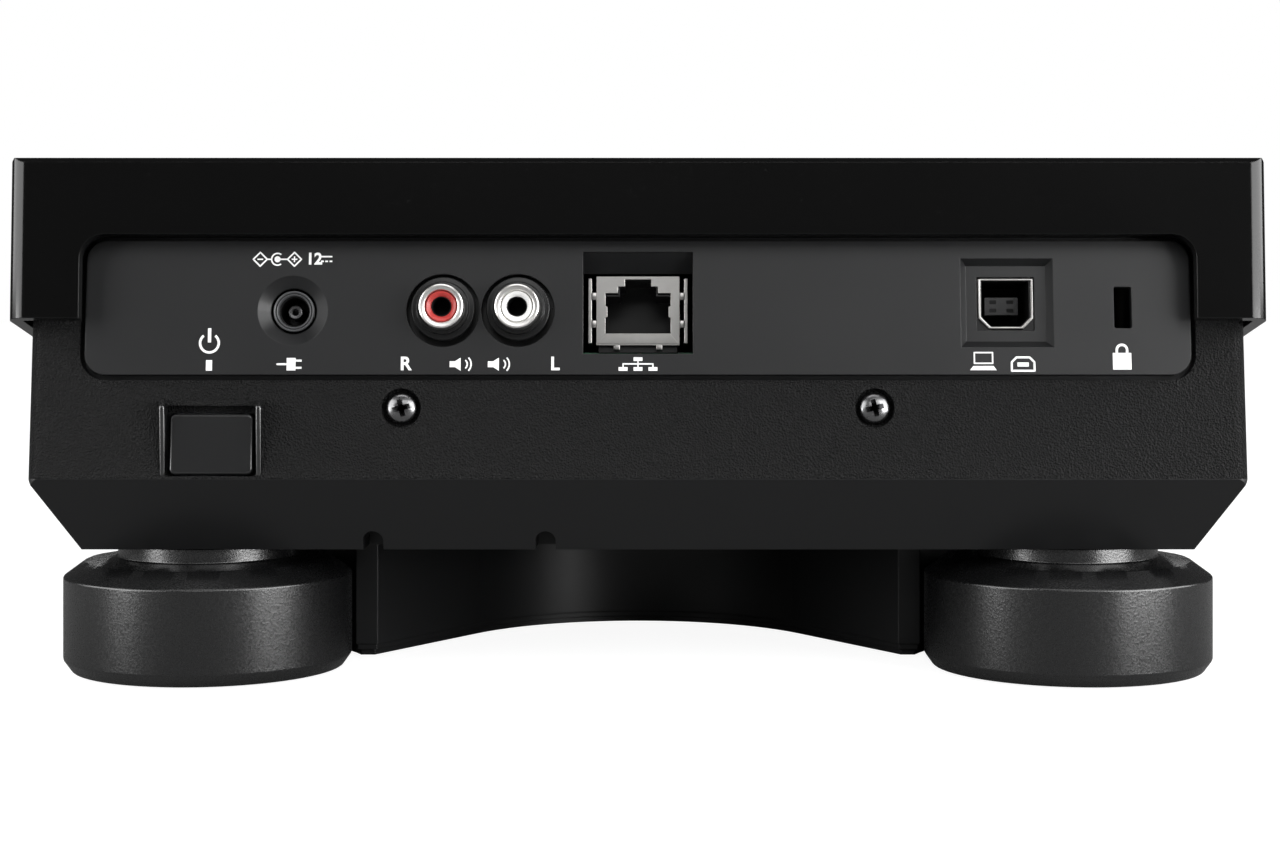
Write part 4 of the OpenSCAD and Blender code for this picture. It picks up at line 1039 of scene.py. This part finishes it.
def computer_socket():
    """The black liner, the tongue with four contacts drawn as painted shade, and the fillers in the nose's
    cut corners.
    """
    place = at_mount("computer_port")
    face = extent("computer_socket", REAR)[1].z
    tongue_tip = -5.5

    def liner(grow):
        """The socket's outline: a rectangle whose two lower corners are cut off."""
        half = 4.0 + grow
        tall = 3.85 + grow
        cut = 1.55 + grow * 0.4
        return [(cut - half, -tall), (half - cut, -tall), (half, cut - tall), (half, tall),
                (-half, tall), (-half, cut - tall)]

    plate("computer_liner", liner(0.22), [liner(0.0)], -13.5, face - 0.35, "socket_black", place)
    corners = []
    for side in (-1, 1):
        corner = [(side * 4.8, -4.45), (side * 2.78, -4.45), (side * 4.8, -2.43)]
        corners.append(plate("corner", corner, [], face - 2.4, face - 0.45, "socket_black", place))
    merged("computer_corners", corners, "socket_black")
    plate("computer_back", liner(0.1), [], -13.9, -13.2, "cavity", place)
    plate("computer_tongue", rectangle(5.8, 3.1), [], -13.2, tongue_tip, "inlet_cone", place, 0.12)
    # painted shade: the contacts are dark slots on the tongue's tip, not metal
    for row, y in enumerate((-0.72, 0.72)):
        row_of_bars("computer_contacts_%d" % row, "cavity", "case", spot(place, 0, y, tongue_tip), 2,
                    (2.9, 0, 0), (1.15, 0.62, 0.05))


def guard_rails():
    """Polished rails that stand either side of the power button."""
    middle = centre("power_button", REAR).x
    proud = extent("lower_chassis", REAR)[1].z + 0.05
    foot = 0.3
    # the rail's side: (outwards, upwards), flat at its foot and furthest out near its top
    side_view = [(-0.4, foot), (0.0, foot), (proud, 11.45), (proud, 12.3), (-0.4, 12.9)]
    rails = []
    for x in (middle - 8.05, middle + 8.05):

        def build(work):
            flanks = []
            for edge in (x - 0.52, x + 0.52):
                flanks.append([work.verts.new(Vector((edge, up, out)) * MM) for out, up in side_view])
            for flank in flanks:
                work.faces.new(flank)
            first, second = flanks
            for index in range(len(side_view)):
                after = (index + 1) % len(side_view)
                work.faces.new((first[index], first[after], second[after], second[index]))

        rail = add_piece("rail", mesh_of("rail", build), "case", "guard", REAR)
        rails.append(round_edges(rail, 0.42, 4))
    merged("guard_rails", rails, "guard")


# ---- screws, pads, ports -----------------------------------------------------


def cross_recess_head(radius, rise):
    """A domed screw head with a cross recess. Its top is at the origin."""
    depth = radius * 0.62
    wide = radius * 0.60
    thin = radius * 0.14
    start_turn = 14
    curve = ((0, 0), (0.4, 0.05), (0.72, 0.22), (0.92, 0.5), (1, 0.85), (1, 1), (0, 1))
    dome = [(radius * out, -rise * down) for out, down in curve]
    head = bpy.data.objects.new("head", lathed("head", dome, 40))

    def cross(work):
        """Two tapered bars, a quarter turn apart."""
        for turn in (start_turn, start_turn + 90):
            spun = Matrix.Rotation(math.radians(turn), 4, "Z")
            corners = []
            for height, w, h in ((0.2, wide * 1.05, thin * 1.2), (-depth, wide * 0.3, thin * 0.7)):
                for x, y in rectangle(w * 2, h * 2):
                    corners.append(work.verts.new(spun @ Vector((x * MM, y * MM, height * MM))))
            work.faces.new(corners[:4])
            work.faces.new([corners[index] for index in (4, 7, 6, 5)])
            for index in range(4):
                after = (index + 1) % 4
                side = (index, index + 4, after + 4, after)
                work.faces.new([corners[corner] for corner in side])

    cutter = bpy.data.objects.new("cutter", mesh_of("cutter", cross))
    for holder in (head, cutter):
        scene.collection.objects.link(holder)
    cut = head.modifiers.new("recess", "BOOLEAN")
    cut.operation = "DIFFERENCE"
    cut.object = cutter
    cut.use_self = True
    mesh = baked(head).data
    keep_corners(mesh, 36)
    for holder in (head, cutter):
        bpy.data.objects.remove(holder)
    return mesh


def screws():
    """Heads for the case screws: two in the leaning rear wall, the rest in the underside."""
    rear = []
    under = []
    from_behind = solids_of("case_screws", REAR)
    from_below = solids_of("case_screws", UNDER)
    for behind, below in zip(from_behind, from_below):
        is_in_rear_wall = behind[1].z > -3
        if is_in_rear_wall:
            rear.append(outer_middle(*behind))
        else:
            under.append(outer_middle(*below))
    rows = (("rear_screws", REAR, rear, 2.72), ("under_screws", UNDER, under, 2.6))
    for name, plane, spots, radius in rows:
        heads = at_each(name, "screw_steel", plane, spots, cross_recess_head(radius, 1.5))
        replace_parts(heads, "case_screws")


def pads():
    """Rubber discs under the round feet, with two moulded grooves each."""
    groove = 0.35
    for index, (low, high) in enumerate(solids_of("foot_pads", UNDER)):
        size = high - low
        radius = size.x / 2
        if abs(size.x - size.y) > 1:
            continue
        profile = [(0, -size.z), (radius, -size.z), (radius, -0.5), (radius - 0.5, 0)]
        for middle in (radius * 0.72, radius * 0.5):
            profile += [(middle + 0.9, 0), (middle + 0.6, -groove), (middle - 0.6, -groove),
                        (middle - 0.9, 0)]
        profile.append((0, 0))
        place = spot(UNDER, *outer_middle(low, high))
        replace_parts(turned("foot_pad_%d" % index, profile, "case", "rubber", [place], 96), "foot_pads")


def memory_port():
    """Four contacts on the port's tongue."""
    tongue = spot(at_mount("memory_port", DECK), 0, 0.2, -7.4)
    row_of_bars("memory_contacts", "gold", "case", tongue, 4, (2.4, 0, 0), (1.1, 0.08, 5.4))


def slot_brush():
    """Two rows of bristles that close the disc slot."""
    low, high = extent("front_bezel", FRONT)
    height = (low.y + high.y) / 2
    for name, shift in (("slot_brush_upper", 1.32), ("slot_brush_lower", -1.32)):
        place = spot(FRONT, 0, height + shift, high.z - 3.2)
        row_of_bars(name, "rubber", "case", place, 209, (0.6, 0, 0), (0.32, 2.5, 0.8))


# ---- deck controls -----------------------------------------------------------


def jog_details():
    """The wheel's ring of studs and plated trim, and the plate's rings and position line."""
    wheel = body_of("jog_wheel")
    rim = extent("jog_wheel", DECK)[1]
    studs = spot(DECK, 0, 0, rim.z - 6.6)
    ring_of_studs("jog_dimples", "jog_black", wheel, studs, 90, rim.x - 2.6, (1.5, 1.25, 0.55))
    section = ((46.6, -0.35), (47.5, -0.35), (47.5, -0.02), (47.35, 0.1), (46.75, 0.1), (46.6, -0.02))
    trim = [(radius, rim.z + height) for radius, height in section]
    turned("jog_trim_ring", trim, wheel, "nickel", [DECK], 160)
    top = spot(DECK, 0, 0, extent("jog_plate", DECK)[1].z)
    Pen().bar(0, 36, 1.4, 13).press("jog_position_line", top, body_of("jog_plate"))
    rings = Pen()
    for radius in (30.0, 30.8, 45.0):
        rings.arc(0, 0, radius, 0.22)
    rings.press("jog_plate_rings", top, body_of("jog_plate"), "jog_black")


def selector_details():
    """The knob's grip ribs and its turned cap."""
    low, high = extent("selector_knob", DECK)
    x, y, top = outer_middle(low, high)
    place = spot(DECK, x, y, (low.z + high.z) / 2 - 0.3)
    body = body_of("selector_knob")
    radius = (high.x - low.x) / 2
    rib = (0.5, 0.75, high.z - low.z - 1.8)
    ring_of_bars("selector_ribs", "knob_black", body, place, 40, radius, rib)
    cap = [(0, 0), (radius - 1.9, 0), (radius - 1.9, 0.16), (radius - 2.1, 0.26), (0, 0.2)]
    turned("selector_cap", cap, body, "knob_metal", [spot(DECK, x, y, top)])


def tempo_details():
    """Scales beside the fader, its plus and minus signs and the line on its cap."""
    low, high = extent("tempo_slider", DECK)
    x, y = outer_middle(low, high)[:2]
    travel = joints["tempo_slide"]["range_m"]
    travel_mm = (travel[1] - travel[0]) / MM
    step = (0, travel_mm / 20, 0)
    marks = Pen()
    for side, name in ((-1, "left"), (1, "right")):
        place = spot(DECK, x + side * 7.9, y, 0.01)
        row_of_bars("tempo_scale_" + name, "print", "case", place, 21, step, (1.8, 0.22, 0.04))
        for share in (-0.5, 0, 0.5):
            marks.bar(x + side * 8.4, y + share * travel_mm, 2.8, 0.36)
    near = y - travel_mm / 2 - 9.5
    far = y + travel_mm / 2 + 9.5
    marks.bar(x, near, 2.2, 0.4).bar(x, near, 0.4, 2.2).bar(x, far, 2.2, 0.4)
    marks.press("tempo_marks", DECK)
    cap = spot(DECK, x, y, cap_floor("tempo_slider", x, y))
    line = Pen().bar(0, 0, high.x - low.x - 2.2, 0.8)
    line.press("tempo_cap_line", cap, body_of("tempo_slider"))


def cap_floor(node, x, y):
    """The height of a node's top surface above the deck at a point, in millimetres."""
    work = bmesh.new()
    work.from_mesh(nodes[node].data)
    start = DECK @ (Vector((x, y, 60)) * MM)
    hit = BVHTree.FromBMesh(work).ray_cast(start, -(DECK.to_3x3() @ Vector((0, 0, 1))))
    work.free()
    return on_plane(DECK, hit[0]).z


def key_mark(node, pen):
    """Prints a symbol in the middle of a key's top."""
    pen.press(node + "_mark", on_face(node, DECK), body_of(node))


def deck_marks():
    """Plain symbols on the keys, the bezel and the deck, and the light rings of two buttons."""
    key_mark("play_button", Pen().triangle(-2.6, 0, 3.4).bar(2.6, 0, 1.3, 5.4).bar(5.0, 0, 1.3, 5.4))
    key_mark("cue_button", Pen().arc(0, 0, 4.3, 0.7).dot(0, 0, 1.7))
    for node, side, turn in (("track_back_key", -1, 180), ("track_next_key", 1, 0)):
        skip = Pen().bar(side * 2.7, 0, 0.7, 3.4).triangle(side * 0.8, 0, 1.9, turn)
        key_mark(node, skip.triangle(side * -2.0, 0, 1.9, turn))
    for node, side in (("loop_in_key", -1), ("loop_out_key", 1)):
        near = side * -1.4
        far = side * 1.4
        key_mark(node, Pen().path([(near, 1.8), (far, 1.8), (far, -1.8), (near, -1.8)], 0.5))
    key_mark("reloop_key", Pen().arc(0, 0, 1.9, 0.5, 40, 330).triangle(1.6, 1.3, 1.2, 20))
    key_mark("sync_key", Pen().arc(-1.1, 0, 1.7, 0.45).arc(1.1, 0, 1.7, 0.45))
    arrow = Pen().line((0, -2.4), (0, 2.4), 0.45)
    key_mark("tempo_range_key", arrow.triangle(0, 2.0, 1.3, 90).triangle(0, -2.0, 1.3, -90))
    key_mark("tempo_lock_key", Pen().bar(0, -0.8, 3.0, 2.2).arc(0, 0.4, 1.05, 0.42, 0, 180))
    key_mark("source_key", Pen().bar(0, -0.3, 4.2, 0.4).bar(0, 1.1, 4.2, 0.4).bar(0, -1.7, 4.2, 0.4))
    hook = Pen().path([(2.2, -1.4), (2.2, 0.6), (-1.6, 0.6)], 0.45)
    key_mark("back_key", hook.triangle(-2.0, 0.6, 1.4, 180))
    key_mark("menu_key", Pen().dot(-2.2, 0, 0.5).dot(0, 0, 0.5).dot(2.2, 0, 0.5))
    label = [(-2.2, 1.3), (0.8, 1.3), (2.2, 0), (0.8, -1.3), (-2.2, -1.3)]
    key_mark("tag_key", Pen().path(label, 0.42, True))
    ring = [(11.5, -0.6), (12.4, -0.6), (12.4, 0.18), (12.25, 0.3), (11.65, 0.3), (11.5, 0.18)]
    for node, paint in (("cue_button", "amber_light"), ("play_button", "green_light")):
        middle = centre(node, DECK)
        turned(node + "_light", ring, "case", paint, [spot(DECK, middle.x, middle.y)], 120)
    eject = Pen().triangle(0, 0.5, 1.5, 90).bar(0, -1.15, 2.6, 0.5)
    eject.press("eject_mark", on_face("eject_button", FRONT), body_of("eject_button"))
    disc = Pen().arc(0, 0, 2.6, 0.32).arc(0, 0, 0.8, 0.3)
    low, high = extent("front_bezel", FRONT)
    wall = extent("lower_chassis", FRONT)[1].z
    disc.press("disc_mark", spot(FRONT, low.x - 7, (low.y + high.y) / 2, wall))
    stick = Pen().path(rectangle(3.0, 1.6, -0.8), 0.3, True).bar(1.5, 0, 1.3, 1.0)
    stick.press("memory_port_mark", spot(at_mount("memory_port", DECK), 0, 9.5))


# ---- marks on the connector panel --------------------------------------------


LABEL_ROW = 19.15     # the symbols under the sockets, in millimetres above the crease
UPPER_ROW = 36.86     # the symbols above the power inlet


def power_marks(panel):
    """The power symbol over a short bar, the inlet's polarity and voltage, and a plug."""
    x = -71.85
    power = Pen().arc(x, 22.7, 1.57, 0.41, 128, 412).bar(x, 24.0, 0.55, 2.4)
    power.bar(x, 18.95, 1.03, 1.78).press("power_mark", panel)
    row = UPPER_ROW
    minus = -63.58
    middle = -60.67
    plus = -57.82
    polarity = Pen().bar(plus, row, 0.22, 0.95)
    for x in (minus, plus):
        diamond = [(x - 1.17, row), (x, row + 1.17), (x + 1.17, row), (x, row - 1.17)]
        polarity.path(diamond, 0.25, True).bar(x, row, 0.95, 0.22)
    polarity.arc(middle, row, 1.0, 0.25, 52, 308).dot(middle, row, 0.52)
    polarity.line((-62.4, row), (-61.66, row), 0.24).line((-60.5, row), (-59.0, row), 0.24)
    polarity.press("polarity_mark", panel)
    character("voltage_number", "12", 1.95, spot(panel, -54.5, row))
    direct = Pen().bar(0, 0.45, 1.9, 0.26)
    for x in (-0.72, 0, 0.72):
        direct.bar(x, -0.35, 0.46, 0.26)
    direct.press("direct_current_mark", spot(panel, -52.4, row))
    plug = Pen().path([(-2.3, 0), (-0.8, 0)], 0.34).bar(0, 0, 1.5, 2.1)
    plug.bar(1.2, 0.6, 1.1, 0.34).bar(1.2, -0.6, 1.1, 0.34)
    plug.press("inlet_mark", spot(panel, -58.1, LABEL_ROW))


def audio_marks(panel):
    """A letter for each channel and two speakers between them."""
    for name, text, x in (("right_letter", "R", -38.94), ("left_letter", "L", -13.92)):
        character(name, text, 2.23, spot(panel, x, LABEL_ROW))
    speakers = Pen()
    for x in (-29.6, -23.2):
        horn = [(x - 1.05, -0.5), (x - 0.1, -1.1), (x - 0.1, 1.1), (x - 1.05, 0.5)]
        speakers.bar(x - 1.5, 0, 0.9, 1.0).fill(horn)
        speakers.arc(x + 0.1, 0, 0.9, 0.26, -50, 50).arc(x + 0.1, 0, 1.55, 0.26, -45, 45)
    speakers.press("audio_mark", spot(panel, 0, LABEL_ROW))


def network_mark(panel):
    """A tree of one box above and three below."""
    tree = Pen().bar(0, 0.85, 1.5, 0.62)
    for x in (-2.5, 0, 2.5):
        tree.bar(x, -0.8, 1.5, 0.62)
    tree.path([(-2.5, -0.55), (-2.5, 0.05), (2.5, 0.05), (2.5, -0.55)], 0.24)
    tree.line((0, -0.55), (0, 0.75), 0.24)
    tree.press("network_mark", spot(panel, 0, LABEL_ROW))


def computer_marks(panel):
    """A laptop, and the socket's own outline beside it."""
    laptop = Pen().path(rectangle(3.05, 1.8, 0, 1.05), 0.24, True)
    laptop.fill([(-1.725, -0.3), (1.675, -0.3), (2.175, -1.0), (-2.275, -1.0)])
    laptop.press("computer_mark", spot(panel, 57.875, LABEL_ROW))
    socket = [(-1.9, -1.1), (1.9, -1.1), (1.9, 0.35), (1.1, 1.15), (-1.1, 1.15), (-1.9, 0.35)]
    link = Pen().path(socket, 0.34, True).bar(0, -0.05, 1.9, 0.7)
    link.press("computer_link_mark", spot(panel, 64.5, LABEL_ROW))


def lock_mark(panel):
    """A closed padlock."""
    lock = Pen().bar(0, 0.5, 3.1, 2.8).arc(0, 2.4, 0.86, 0.42, 0, 180)
    lock.bar(-0.86, 2.15, 0.42, 0.6).bar(0.86, 2.15, 0.42, 0.6)
    lock.press("lock_mark", spot(panel, 81.1, LABEL_ROW))


def panel_marks():
    """Plain symbols beside each socket. x runs to the right as seen from behind."""
    panel = spot(REAR, 0, 0, extent("rear_panel", REAR)[1].z)
    power_marks(panel)
    audio_marks(panel)
    network_mark(panel)
    computer_marks(panel)
    lock_mark(panel)


audio_sockets()
power_inlet()
network_socket()
computer_socket()
guard_rails()
screws()
pads()
memory_port()
slot_brush()
jog_details()
selector_details()
tempo_details()
deck_marks()
panel_marks()


# ---- stage -------------------------------------------------------------------


FLOOR_SIZE = 16.0
FLOOR_DROP = 0.0002      # keeps the floor clear of the pads' lower faces
FLOOR_GLOW = 0.92        # the floor's own white near the object, as the camera sees it
FLOOR_FADE = 0.1         # added further away, so that the edge of the floor can't be seen


def pale_floor():
    """A pale floor that turns white in the distance, with a faint shadow under the object."""
    material = bpy.data.materials.new("floor")
    material.use_nodes = True
    graph = Graph(material.node_tree)
    seen = graph.add("ShaderNodeLightPath", out="Is Camera Ray")
    place = graph.add("ShaderNodeTexCoord", out="Object")
    away = graph.add("ShaderNodeVectorMath", {"operation": "LENGTH"}, {0: place}, out="Value")
    fade = {"Value": away, "From Min": 0.3, "From Max": 0.9}
    far = graph.add("ShaderNodeMapRange", {"clamp": True}, fade)
    sockets = {
        "Base Color": grey(0.25),
        "Roughness": 1.0,
        "Specular IOR Level": 0.0,
        "Emission Color": grey(1.0),
        "Emission Strength": seen * (FLOOR_GLOW + far * FLOOR_FADE),
    }
    shader = graph.add("ShaderNodeBsdfPrincipled", None, sockets)
    graph.add("ShaderNodeOutputMaterial", None, {"Surface": shader})
    mesh = bpy.data.meshes.new("floor")
    corners = [(x, y, -FLOOR_DROP) for x, y in rectangle(FLOOR_SIZE, FLOOR_SIZE)]
    mesh.from_pydata(corners, [], [(0, 1, 2, 3)])
    mesh.materials.append(material)
    floor = bpy.data.objects.new("floor", mesh)
    scene.collection.objects.link(floor)


AMBIENT = 0.05           # strength of the light from all around


def studio_world():
    """White where the camera or clear pieces look straight at it, a quiet grey for all else."""
    world = bpy.data.worlds.new("studio")
    world.use_nodes = True
    graph = Graph(world.node_tree)
    camera = graph.add("ShaderNodeLightPath", out="Is Camera Ray")
    through = camera.beside("Is Transmission Ray")
    strength = (camera + through).at_least(AMBIENT)
    shader = graph.add("ShaderNodeBackground", None, {"Color": grey(1.0), "Strength": strength})
    graph.add("ShaderNodeOutputWorld", None, {"Surface": shader})
    scene.world = world


def softbox(name, azimuth, height, distance, width, tall, watts):
    """A rectangular lamp aimed at the object, in metres. azimuth is degrees from +Y towards +X."""
    data = bpy.data.lights.new(name, "AREA")
    data.shape = "RECTANGLE"
    data.size = width
    data.size_y = tall
    data.energy = watts
    lamp = bpy.data.objects.new(name, data)
    angle = math.radians(azimuth)
    lamp.location = (distance * math.sin(angle), distance * math.cos(angle), height)
    aim = Vector((0, 0, 0.05)) - lamp.location
    lamp.rotation_euler = aim.to_track_quat("-Z", "Y").to_euler()
    lamp.visible_camera = False
    scene.collection.objects.link(lamp)


# azimuth, height, distance, width, tall, watts
LAMPS = {
    "left softbox": (64, 0.32, 0.75, 1.0, 0.46, 5.4),
    "right softbox": (-61, 0.32, 0.75, 1.1, 0.46, 8.0),
    "left low strip": (50, 0.045, 0.5, 0.14, 0.08, 0.34),
    "right low strip": (-46, 0.045, 0.55, 0.30, 0.08, 1.15),
    "rear softbox": (-14, 0.70, 1.25, 1.2, 0.5, 5.0),
    "top softbox": (0, 1.15, 0.42, 1.0, 0.4, 3.0),
    "front softbox": (180, 0.95, 1.4, 1.4, 0.8, 9.5),
}

pale_floor()
studio_world()
for name, setting in LAMPS.items():
    softbox(name, *setting)

scene.view_settings.view_transform = "Standard"
